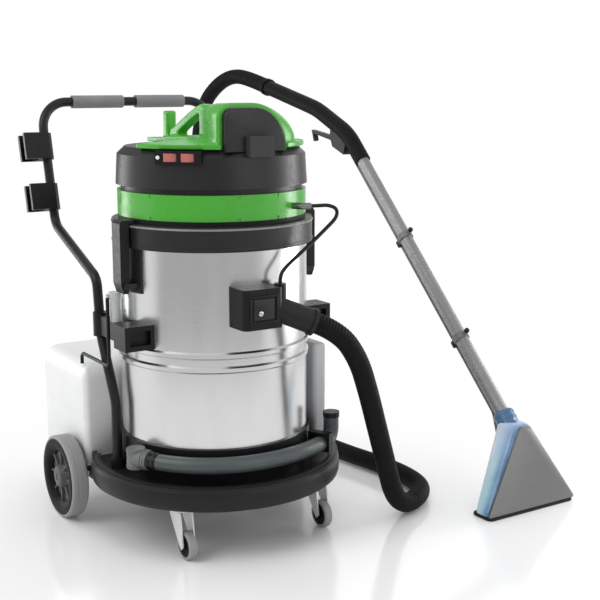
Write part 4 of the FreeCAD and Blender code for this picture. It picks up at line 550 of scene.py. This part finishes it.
def make_cords(m):
    line = route_curve("hose_line", HOSE_ROUTE)
    points = resample(route_points(line), RIB_PITCH / 6)
    bpy.data.objects.remove(line)

    def ribbed(along):
        return HOSE_RADIUS - RIB_HEIGHT * (0.5 + 0.5 * math.cos(2 * math.pi * along / RIB_PITCH)) ** 2

    hose = tube_mesh("ribbed_hose", points, ribbed, 28)
    paint(hose, m["hose"])
    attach(hose, "machine")
    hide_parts("suction_hose")
    tube = route_curve("tank_to_coupling_tube", TUBE_ROUTE, steps=16)
    tube.data.bevel_depth = 4 * MM
    tube.data.bevel_resolution = 4
    tube.data.use_fill_caps = True
    paint(tube, m["thin"])
    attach(tube, "machine")
    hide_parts("solution_tube")


# ---------------------------------------------------------------- shapes

def tidy_mesh(obj, angle=35):
    obj.data.shade_smooth()
    obj.data.set_sharp_from_angle(angle=math.radians(angle))


def turned(name, profile, place, axis, material, sides=96, sharp=35):
    """A piece turned about an axis; the profile gives (along the axis, radius) in millimetres."""
    turn = Vector(axis).to_track_quat("Z", "Y").to_matrix().to_4x4()
    mesh = bmesh.new()
    rings = []
    for along, radius in profile:
        if radius == 0:
            rings.append([mesh.verts.new((0, 0, along * MM))])
            continue
        rings.append([mesh.verts.new((radius * MM * math.cos(a), radius * MM * math.sin(a), along * MM))
                      for a in (2 * math.pi * k / sides for k in range(sides))])
    for one, two in zip(rings, rings[1:]):
        for k in range(sides):
            a, b = one[k % len(one)], one[(k + 1) % len(one)]
            c, d = two[(k + 1) % len(two)], two[k % len(two)]
            corners = list(dict.fromkeys((a, b, c, d)))
            if len(corners) > 2:
                mesh.faces.new(corners)
    if profile[0] == profile[-1]:
        bmesh.ops.remove_doubles(mesh, verts=mesh.verts, dist=1e-6)
    bmesh.ops.recalc_face_normals(mesh, faces=mesh.faces)
    bmesh.ops.transform(mesh, matrix=Matrix.Translation(place) @ turn, verts=mesh.verts)
    obj = made(name, mesh)
    tidy_mesh(obj, sharp)
    paint(obj, material)
    return obj


def round_block(name, size, place, turn, radius, material, segments=3):
    """A block with rounded edges, centred on its place; turn is a matrix of its own axes."""
    mesh = bmesh.new()
    bmesh.ops.create_cube(mesh, size=1)
    bmesh.ops.scale(mesh, vec=Vector(size) * MM, verts=mesh.verts)
    bmesh.ops.bevel(mesh, geom=mesh.edges[:], offset=radius * MM, segments=segments, affect="EDGES",
                    profile=0.5)
    bmesh.ops.transform(mesh, matrix=Matrix.Translation(place) @ turn.to_4x4(), verts=mesh.verts)
    obj = made(name, mesh)
    tidy_mesh(obj, 50)
    paint(obj, material)
    return obj


def facing(outward):
    """Axes of a piece that faces outward: X across, Y up the face, Z outward."""
    z = Vector(outward).normalized()
    x = Vector((0, 0, 1)).cross(z).normalized()
    return Matrix((x, z.cross(x), z)).transposed()


def screw(name, place, outward, radius, height, material):
    """A domed screw head with a cross recess."""
    sides = 48
    mesh = bmesh.new()
    profile = [(0, radius), (0.45 * height, radius), (0.8 * height, 0.86 * radius), (height, 0.6 * radius)]
    rings = [[mesh.verts.new((r * MM * math.cos(a), r * MM * math.sin(a), h * MM))
              for a in (2 * math.pi * k / sides for k in range(sides))] for h, r in profile]

    def recess(k):
        a = 2 * math.pi * k / sides
        return radius * (0.46 if abs(math.sin(2 * a)) < 0.36 else 0.17)

    for depth in (height, 0.35 * height):
        rings.append([mesh.verts.new((recess(k) * MM * math.cos(2 * math.pi * k / sides),
                                      recess(k) * MM * math.sin(2 * math.pi * k / sides), depth * MM))
                      for k in range(sides)])
    span(mesh, rings)
    mesh.faces.new(rings[-1])
    bmesh.ops.transform(mesh, matrix=Matrix.Translation(place) @ facing(outward).to_4x4(), verts=mesh.verts)
    obj = made(name, mesh)
    tidy_mesh(obj, 40)
    paint(obj, material)
    return obj


def extruded(name, levels, material, sharp=50):
    """A skin over outlines of one point count; levels are (z, [(x, y), ...]) in millimetres, rising."""
    mesh = bmesh.new()
    rings = [[mesh.verts.new(at(x, y, z)) for x, y in outline] for z, outline in levels]
    span(mesh, rings)
    mesh.faces.new(reversed(rings[0]))
    mesh.faces.new(rings[-1])
    bmesh.ops.recalc_face_normals(mesh, faces=mesh.faces)
    obj = made(name, mesh)
    tidy_mesh(obj, sharp)
    paint(obj, material)
    return obj


def arc(x, y, radius, start, end, steps):
    """Points round a centre, from one angle to another in degrees."""
    angles = [math.radians(start + (end - start) * k / steps) for k in range(steps + 1)]
    return [(x + radius * math.cos(a), y + radius * math.sin(a)) for a in angles]


def joined(name, parts):
    """One piece made of several."""
    bpy.ops.object.select_all(action="DESELECT")
    for part in parts:
        part.select_set(True)
    bpy.context.view_layer.objects.active = parts[0]
    bpy.ops.object.join()
    parts[0].name = name
    return parts[0]


def stands(piece, body, slot, *replaced):
    """Gives a piece its body and hides the CAD nodes it takes the place of. The slot argument is not used."""
    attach(piece, body)
    if replaced:
        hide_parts(*replaced)
    return piece


def skinned(name, parts, voxel, rounds, ratio, material):
    """Several solids run together into one moulding with rounded inner and outer edges."""
    rough = joined(name, parts)
    remesh = rough.modifiers.new("remesh", "REMESH")
    remesh.mode = "VOXEL"
    remesh.voxel_size = voxel * MM
    smooth = rough.modifiers.new("smooth", "SMOOTH")
    smooth.factor = 0.5
    smooth.iterations = rounds
    thin = rough.modifiers.new("thin", "DECIMATE")
    thin.ratio = ratio
    even = rough.modifiers.new("even", "SMOOTH")
    even.factor = 0.5
    even.iterations = 4
    mesh = bpy.data.meshes.new_from_object(rough.evaluated_get(bpy.context.evaluated_depsgraph_get()))
    bpy.data.objects.remove(rough)
    mesh.shade_smooth()
    obj = bpy.data.objects.new(name, mesh)
    bpy.context.collection.objects.link(obj)
    paint(obj, material)
    return obj


# ---------------------------------------------------------------- wheels

def make_wheels(m):
    """The rear wheels: a grey tyre with two grooves, a black rim and a web with eight ribs."""
    for name in ("left", "right"):
        body = f"{name}_wheel"
        low, high = (Vector(corner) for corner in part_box(f"tyre_{name}"))
        middle = (low + high) / 2
        out = Vector((1 if middle.x > DRUM_AXIS.x else -1, 0, 0))
        half = (high.x - low.x) / 2 / MM
        radius = (high.z - low.z) / 2 / MM
        tyre = [(-half + 5, radius - 14), (-half + 1.5, radius - 12), (-half, radius - 8),
                (-half + 0.8, radius - 4.5), (-half + 4, radius - 0.6), (-half + 6, radius), (-7, radius),
                (-6.2, radius - 1), (-4.8, radius - 1), (-4, radius), (4, radius), (4.8, radius - 1),
                (6.2, radius - 1), (7, radius), (half - 6, radius), (half - 4, radius - 0.6),
                (half - 1.6, radius - 3.5), (half - 1.2, radius - 6), (half - 3, radius - 12),
                (half - 6, radius - 14)]
        tread = turned(f"tyre_{name}_tread", tyre, middle, out, m["tyre"], 128, 30)
        stands(tread, body, "tyre_grey", f"tyre_{name}")
        rim = radius - 6.5
        ring = [(-half + 6, rim - 6), (-half + 4, rim - 6), (-half + 3, rim - 10), (-half + 3, 66),
                (-half + 6, 62), (-9, 60), (-7, 58), (9, 58), (11, 60), (half - 7, 62), (half - 4, 65),
                (half - 2, 70), (half - 0.4, 76), (half, rim - 5), (half - 0.5, rim - 1.5), (half - 2, rim),
                (half - 9, rim - 3)]
        face = turned(f"wheel_{name}_ring", ring, middle, out, m["wheel"], 128, 30)
        web = [turned("web", [(-6, 59), (-5, 30), (-12, 26), (-half + 2, 24), (-half + 1, 22),
                              (-half + 1, 11), (half - 6, 11), (half - 6, 8), (half, 8), (half, 20),
                              (half - 1.5, 23), (half - 4, 24.5), (10, 27), (5, 31), (6, 59)], middle, out,
                      m["web"], 96, 30)]
        web.append(turned("cap", [(half - 1, 0), (half - 1, 8.5)], middle, out, m["web"], 48))
        across = out.orthogonal().normalized()
        for k in range(8):
            way = Matrix.Rotation(math.pi * k / 4, 3, out) @ across
            axes = Matrix((way, out.cross(way), out)).transposed()
            web.append(round_block("rib", (36, 5, 24), middle + way * 43 * MM, axes, 1.2, m["web"], 2))
        stands(joined(f"wheel_{name}_web", web), body, "wheel_black")
        stands(face, body, "wheel_black", f"wheel_{name}")


def make_casters(m):
    for name in ("left", "right"):
        low, high = (Vector(corner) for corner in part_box(f"caster_wheel_{name}"))
        middle = (low + high) / 2
        half, radius = (high.x - low.x) / 2 / MM, (high.z - low.z) / 2 / MM
        outline = [(-half + 2, radius - 7), (-half + 0.4, radius - 6), (-half + 1, radius - 2),
                   (-half + 3.5, radius), (half - 3.5, radius), (half - 1, radius - 2),
                   (half - 0.4, radius - 6), (half - 2, radius - 7)]
        tread = turned(f"caster_{name}_tread", outline, middle, (1, 0, 0), m["pale_tyre"], 72, 30)
        disc = []
        for side in (1, -1):
            disc.append(turned("face", [(half - 2, radius - 6.5), (half - 0.8, radius - 8), (half - 1.2, 16),
                                        (half - 3, 14), (half - 3, 9), (half + 0.6, 8), (half + 0.6, 4.2),
                                        (0, 4.2)],
                               middle, (side, 0, 0), m["wheel"], 72, 30))
        stands(joined(f"caster_{name}_disc", disc), f"{name}_roller", "wheel_black", f"caster_wheel_{name}")
        stands(tread, f"{name}_roller", "tyre_grey")


# ---------------------------------------------------------------- tank, cover and head

def tank_outline(inset):
    """The tank seen from above: a U round the drum, its corners rounded."""
    hug, half, front, back = 226 + inset, 262 - inset, 138 + inset, 420 - inset
    end, outer, rear = max(4, 40 - inset), max(4, 15 - inset), max(6, 45 - inset)
    y = front + end
    x = math.sqrt((hug + end) ** 2 - y * y)
    lean = math.degrees(math.atan2(y, x))
    points = arc(0, 0, hug, lean, 180 - lean, 40)
    points += arc(-x, y, end, 360 - lean, 270, 10) + arc(outer - half, front + outer, outer, 270, 180, 10)
    points += arc(rear - half, back - rear, rear, 180, 90, 12) + arc(half - rear, back - rear, rear, 90, 0,
                                                                     12)
    return points + arc(half - outer, front + outer, outer, 0, -90, 10) + arc(x, y, end, -90, -180 + lean, 10)


def make_tank(m):
    levels = [(125, 12), (127, 7), (131, 2.5), (137, 0.2), (232, 0), (236, 0.4), (238, -0.2), (240, 0.4),
              (244, 0), (330, 0)]
    levels += [(330 + 35 * math.sin(math.radians(t)), 34 * (1 - math.cos(math.radians(t))))
               for t in range(9, 91, 9)]
    skin = extruded("tank_moulding", [(z, tank_outline(inset)) for z, inset in levels], m["tank"])
    drill = turned("drill", [(240, 0), (240, 28.2), (400, 28.2), (400, 0)], at(0, 330, 0), (0, 0, 1),
                   m["tank"], 64)
    mouth = skin.modifiers.new("mouth", "BOOLEAN")
    mouth.operation = "DIFFERENCE"
    mouth.object = drill
    mesh = bpy.data.meshes.new_from_object(skin.evaluated_get(bpy.context.evaluated_depsgraph_get()))
    skin.modifiers.clear()
    skin.data = mesh
    bpy.data.objects.remove(drill)
    tidy_mesh(skin, 50)
    neck = turned("tank_neck", [(352, 28.2), (352, 31), (364, 31), (366.2, 30.4), (366.2, 28.8), (365, 28.2)],
                  at(0, 330, 0), (0, 0, 1), m["tank"], 64)
    stands(neck, "machine", "tank_white")
    stands(skin, "machine", "tank_white", "solution_tank")


def make_top_cover(m):
    """The green cover, sculpted: a low domed plate, a hood that narrows into the carry bar, and a tail."""
    low, plate_top, radius = 862, 882, 203
    half_plate = math.degrees(math.asin(36 / radius))
    front = [(x, y) for x, y in arc(0, 0, radius, 180 + half_plate, 360 - half_plate, 60) if not -76 < x < 81]
    left = [p for p in front if p[0] < 0]
    right = [p for p in front if p[0] > 0]
    outline = left + [(-76, -math.sqrt(radius**2 - 76**2)), (-76, -179), (81, -179),
                      (81, -math.sqrt(radius**2 - 81**2))] + right
    outline += [(55, -36), (55, 214), (-55, 214), (-55, -36)]
    plate = extruded("plate", [(low, outline), (plate_top, outline)], m["green"])

    def section(y, left, right, top):
        points = [(left, low - 1)]
        points += [(0.62 * left + 0.38 * left * math.cos(t), low + (top - low) * (0.70 + 0.30 * math.sin(t)))
                   for t in (math.radians(a) for a in range(0, 91, 10))]
        points += [(right * math.sin(t), low + (top - low) * math.cos(t))
                   for t in (math.radians(a) for a in range(0, 91, 6))]
        return [at(x, y, z) for x, z in points]

    def widths(y):
        t = (y + 180) / 214
        ease = 0.5 + 0.5 * math.cos(math.pi * min(1, max(0, t)))
        flare = 62 * math.exp(-(((t - 0.3) / 0.25) ** 2))
        return -13 - 71 * ease, min(13 + 75 * ease + flare, math.sqrt(200**2 - y * y) - 3), 949 + 7 * ease

    mesh = bmesh.new()
    rings = [[mesh.verts.new(p) for p in section(y, *widths(y))] for y in range(-180, 35, 12)]
    rings.append([mesh.verts.new(p) for p in section(34, *widths(34))])
    close(mesh, rings)
    hood = made("hood", mesh)
    spine = [(20, 945), (40, 940), (75, 927), (112, 911), (148, 894), (168, 884), (171, 872), (170, 862)]
    mesh = bmesh.new()
    loops = []
    for i, (y, z) in enumerate(spine):
        a, b = spine[max(0, i - 1)], spine[min(len(spine) - 1, i + 1)]
        length = math.hypot(b[0] - a[0], b[1] - a[1])
        ny, nz = -(b[1] - a[1]) / length, (b[0] - a[0]) / length
        thick = 9.5 + (4 if i > 4 else 0)
        loops.append([mesh.verts.new(at(x, y + ny * h, z - 3 + nz * h))
                      for x, h in ((-13, -thick), (13, -thick), (13, thick), (-13, thick))])
    close(mesh, loops)
    bar = made("bar", mesh)
    tail = round_block("tail", (26, 22, 70), at(0, 203, 897), Matrix.Identity(3), 4, m["green"])
    cover = skinned("cover_moulding", [plate, hood, bar, tail], 2.0, 7, 0.5, m["green"])
    for vertex in cover.data.vertices:
        rise = (vertex.co.z / MM - low) / (plate_top - low)
        reach = (vertex.co - DRUM_AXIS).to_2d().length / MM / radius
        if 0.5 < rise < 1.3:
            vertex.co.z -= 12 * MM * reach**2 * min(1, (rise - 0.5) * 2) * min(1, (1.3 - rise) * 3.5)
    stands(cover, "head", "green_plastic", "top_cover")


def make_dome_panel(m):
    """The dark panel on the hood's front."""
    left, right, low, top = -72, 74, 856, 946
    outline = [(left, low)]
    outline += [(left * (0.70 + 0.30 * math.cos(t)), low + (top - low) * (0.78 + 0.22 * math.sin(t)))
                for t in (math.radians(a) for a in range(0, 91, 10))]
    outline += [(right * math.sin(t), low + (top - low) * math.cos(t))
                for t in (math.radians(a) for a in range(0, 91, 5))]
    middle = (0, low + 0.35 * (top - low))
    mesh = bmesh.new()
    rings = []
    for y, scale in ((-180, 1.0), (-192, 1.0), (-195, 0.985), (-196, 0.95)):
        rings.append([mesh.verts.new(at(middle[0] + (x - middle[0]) * scale, y, middle[1]
                                        + (z - middle[1]) * scale))
                      for x, z in outline])
    close(mesh, rings)
    panel = made("hood_panel", mesh)
    tidy_mesh(panel, 40)
    paint(panel, m["shell"])
    stands(panel, "head", "shell_dark", "dome_panel")


def make_inlet_details(m):
    """A stepped square face and its screw on the inlet."""
    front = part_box("inlet_housing")[0][1]
    face = at(-24, 0, 538)
    face.y = front
    axes = facing((0, -1, 0))
    frame_parts = []
    for x, z, w, h in ((0, 27, 68, 5), (0, -27, 68, 5), (-31.5, 0, 5, 50), (31.5, 0, 5, 50)):
        frame_parts.append(round_block("bar", (w, h, 4), face + Vector((x, -0.6, z)) * MM, axes, 1.0,
                                       m["black"], 2))
    stands(joined("inlet_frame", frame_parts), "machine", "black_plastic")
    plate = round_block("inlet_face_plate", (50, 44, 3), face + Vector((0, -0.4, 0)) * MM, axes, 1.2,
                        m["shell"], 2)
    stands(plate, "machine", "black_plastic")
    stands(screw("inlet_screw", face + Vector((-8, -1.9, -8)) * MM, (0, -1, 0), 5.5, 2.4, m["chrome"]),
           "machine", "axle_steel")


def make_rim_beads(m):
    """The pale bead on the rim's top edge, its pale grey a painted highlight along the black rim, and the
    dark one under it.
    """
    axis = at(0, 0, 0)
    bead = turned("rim_bead_painted_highlight", [(697, 221.5), (698, 223.2), (699.6, 223.8), (701.2, 223.2), (702.2, 221.5)],
                  axis, (0, 0, 1), m["bead"], 160)
    stands(bead, "machine", "rim_dark")
    low_bead = turned("rim_lower_bead", [(655, 221.6), (656, 223.0), (658.5, 223.4), (661, 223.0),
                                         (662, 221.6)],
                      axis, (0, 0, 1), m["rim"], 160)
    stands(low_bead, "machine", "rim_dark")


def make_bumper(m):
    """The trolley's rolled edge, round its front and sides."""
    profile = [(114.6, 274), (115.2, 279.5), (118, 283.2), (124, 285), (134, 285.6), (146, 285.2),
               (155, 283.6), (161, 280.6), (165, 276.2), (166.6, 271), (166.4, 264)]
    start, end, steps = 156, 384, 120
    mesh = bmesh.new()
    rings = []
    for k in range(steps + 1):
        a = math.radians(start + (end - start) * k / steps)
        fade = 1 - 0.012 * max(0, 1 - min(k, steps - k) / 6) ** 2
        rings.append([mesh.verts.new(at(r * fade * math.cos(a), r * fade * math.sin(a), z)) for z,
                      r in profile])
    close(mesh, rings)
    bumper = made("trolley_bumper", mesh)
    tidy_mesh(bumper, 50)
    paint(bumper, m["base"])
    stands(bumper, "machine", "trolley_dark")


def drain_point(x, y, z):
    """A point in the drain's own frame, whose front is turned to the drum's left."""
    turn = math.radians(64)
    return at(x * math.cos(turn) + y * math.sin(turn), y * math.cos(turn) - x * math.sin(turn), z)


def make_drain_details(m):
    ahead = drain_point(1, 0, 0) - drain_point(0, 0, 0)
    ribs = [turned("rib", [(-1.8, 19), (-1.2, 21.3), (1.2, 21.3), (1.8, 19)], drain_point(-40, -238, z),
                   (0, 0, 1), m["fitting"], 64) for z in (186, 220)]
    ribs += [turned("rib", [(-2, 20), (-1.4, 22.6), (1.4, 22.6), (2, 20)], drain_point(x, -238, 203), ahead,
                    m["fitting"], 64) for x in (-16, -9)]
    stands(joined("drain_ribs", ribs), "machine", "fitting_grey")
    bands = [turned("band", [(-4.5, 17), (-4.5, 18.9), (-3.5, 19.4), (3.5, 19.4), (4.5, 18.9), (4.5, 17)],
                    drain_point(x, -238 + abs(x) * 0.02, 203), ahead, m["black"], 64) for x in (5, 17)]
    stands(joined("drain_bands", bands), "machine", "black_plastic")
    low, high = (Vector(corner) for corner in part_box("drain_clip"))
    out = (at(205, -175, 0) - at(0, 0, 0)).normalized()
    top = Vector(((low.x + high.x) / 2, (low.y + high.y) / 2, high.z))
    stands(screw("drain_clip_screw", top + out * 8 * MM, (0, 0, 1), 4.5, 2.2, m["chrome"]), "machine",
           "axle_steel")


WAND_LEAN = math.radians(45.7)
WAND_AHEAD = Vector((0, math.sin(WAND_LEAN), math.cos(WAND_LEAN)))
WAND_OVER = Vector((0, -math.cos(WAND_LEAN), math.sin(WAND_LEAN)))


def on_wand(along, over=0, x=0):
    """A point beside the wand's line, measured from its foot in millimetres."""
    return at(643 + x, -304, 175) + (WAND_AHEAD * along + WAND_OVER * over) * MM


def make_wand_details(m):
    axes = Matrix((Vector((1, 0, 0)), WAND_OVER.cross(Vector((1, 0, 0))), WAND_OVER)).transposed()
    top = (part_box("wand_tube")[1][2] / MM - 175 - 17 * math.sin(WAND_LEAN)) / math.cos(WAND_LEAN)
    foot, outer, inner = 6, 17, 15.5
    profile = [(foot, inner)] + [(foot + (top - foot) * k / 40, outer) for k in range(41)] + [(top, inner),
                                                                                              (foot, inner)]
    tube = turned("wand_tube_steel", profile, on_wand(0), WAND_AHEAD, m["wand"], 72, 40)
    stands(tube, "machine", "wand_steel", "wand_tube")
    blocks, knobs = [], []
    for along in (277.5, 602.5):
        blocks.append(round_block("block", (17, 19, 13), on_wand(along, -27), axes, 2, m["black"]))
        knobs.append(turned("knob", [(20, 2.2), (27, 2.2), (27, 5.2), (28, 6.4), (34, 6.4), (35.4, 5.2),
                                     (35.8, 0)],
                            on_wand(along), WAND_OVER, m["black"], 32))
    stands(joined("wand_clip_blocks", blocks), "machine", "black_plastic")
    stands(joined("wand_clip_knobs", knobs), "machine", "black_plastic")


def rounded_rectangle(x0, x1, y0, y1, radius):
    return (arc(x1 - radius, y0 + radius, radius, -90, 0, 8) + arc(x1 - radius, y1 - radius, radius, 0, 90, 8)
            + arc(x0 + radius, y1 - radius, radius, 90, 180, 8)
            + arc(x0 + radius, y0 + radius, radius, 180, 270, 8))


def make_nozzle(m):
    """The clear blue fishtail with rounded flanks, its darker collar and the thin rubber lip."""
    def level(z, inset=0):
        t = (z - 14) / 186
        half, front, depth = 132 - 106 * t, -376 + 34 * t, 56 + 18 * t
        radius = min(16 + 6 * t, half - 1) - inset
        return z, rounded_rectangle(643 - half + inset, 643 + half - inset, front + 1.5 + inset, front
                                    + depth - inset, radius)

    levels = [level(z, i) for z, i in ((7, 5), (8.5, 2), (12, 0.4), (20, 0), (110, 0), (190, 0), (197, 2),
                                       (200, 6), (201, 11))]
    body = extruded("nozzle_moulding", levels, m["blue"], 60)
    stands(body, "machine", "nozzle_blue", "nozzle_body")
    collar = turned("nozzle_collar", [(-12, 20), (-12, 23.5), (-8, 24.5), (30, 25), (31, 26.2), (36, 26.2),
                                      (37, 25), (44, 25), (45, 26.2), (50, 26.2), (52, 25.4), (54, 23.5),
                                      (54, 17.2)],
                    on_wand(0), WAND_AHEAD, m["collar"], 72)
    stands(collar, "machine", "nozzle_blue")
    screws = [screw("collar_screw", on_wand(22, 24.6), WAND_OVER, 3.2, 1.6, m["chrome"]),
              screw("collar_screw", on_wand(22, 0, -24.6), (-1, 0, 0), 3.2, 1.6, m["chrome"])]
    stands(joined("collar_screws", screws), "machine", "axle_steel")
    outline = rounded_rectangle(508, 778, -380.5, -315, 14)
    inner = rounded_rectangle(510, 776, -378.5, -317, 12)
    lip = extruded("nozzle_rubber", [(0, inner), (1.5, outline), (6.5, outline), (8, inner)], m["seal"], 60)
    stands(lip, "machine", "seal_black", "nozzle_lip")
    rise = math.atan2(34, 186)
    face = Vector((0, -math.cos(rise), math.sin(rise)))
    points = [(-133, 9), (133, 9), (135, 12), (134, 16)]
    points += [(7 + 14 * math.cos(a), 186 + 13 * math.sin(a))
               for a in (math.radians(t) for t in range(20, 91, 10))]
    points += [(-7 + 14 * math.cos(a), 186 + 13 * math.sin(a))
               for a in (math.radians(t) for t in range(90, 161, 10))]
    points += [(-134, 16), (-135, 12)]
    mesh = bmesh.new()
    rings = []
    for out, scale in ((-2, 1.0), (2.2, 1.0), (3.2, 0.99)):
        ring = []
        for x, z in points:
            y = -376 + 34 * (z - 14) / 186
            ring.append(mesh.verts.new(at(643 + x * scale, y, 14 + (z - 14) * scale) + face * out * MM))
        rings.append(ring)
    close(mesh, rings)
    plate = made("nozzle_face_plate", mesh)
    tidy_mesh(plate, 40)
    paint(plate, m["plate"])
    stands(plate, "machine", "plate_metal", "nozzle_plate")


EDGES = {"head_ring": 2.5, "vent_block": 2.5, "drum_rim": 1.5, "base_trolley": 4, "drum_foot": 2,
         "inlet_housing": 3, "tool_hooks": 2, "leg_clamps": 1.5, "latch_left": 1.5, "latch_right": 1.5,
         "switch_bezel": 1.2, "inlet_cuff": 1, "drain_elbow": 2, "drain_clip": 1.5, "drain_plug": 1,
         "tank_cap": 2, "pump_housing": 3, "caster_fork_left": 0.8, "caster_fork_right": 0.8,
         "wand_handle": 2, "valve_body": 1.5, "trigger": 1, "pipe_clips": 1.2, "pump_switch": 0.6,
         "motor_switch": 0.6, "motor_cover": 2.5, "cable_gland": 1, "inline_filter": 1,
         "quick_coupling": 0.6, "handle_grips": 2, "rear_axle": 1, "pilot_lamp": 0.5}


def soften_edges():
    """Moulded and turned parts have small radii on their edges."""
    for node, width in EDGES.items():
        bevel = nodes[node].modifiers.new("edges", "BEVEL")
        bevel.width = width * MM
        bevel.segments = 3
        bevel.limit_method = "ANGLE"
        bevel.angle_limit = math.radians(35)


def main():
    bpy.context.scene.view_settings.view_transform = "Standard"
    set_camera()
    set_world()
    set_floor()
    set_lights()
    m = make_materials()
    finish_nodes(m)
    make_cords(m)
    soften_edges()
    make_wheels(m)
    make_casters(m)
    make_tank(m)
    make_top_cover(m)
    make_dome_panel(m)
    make_inlet_details(m)
    make_rim_beads(m)
    make_bumper(m)
    make_drain_details(m)
    make_wand_details(m)
    make_nozzle(m)


main()
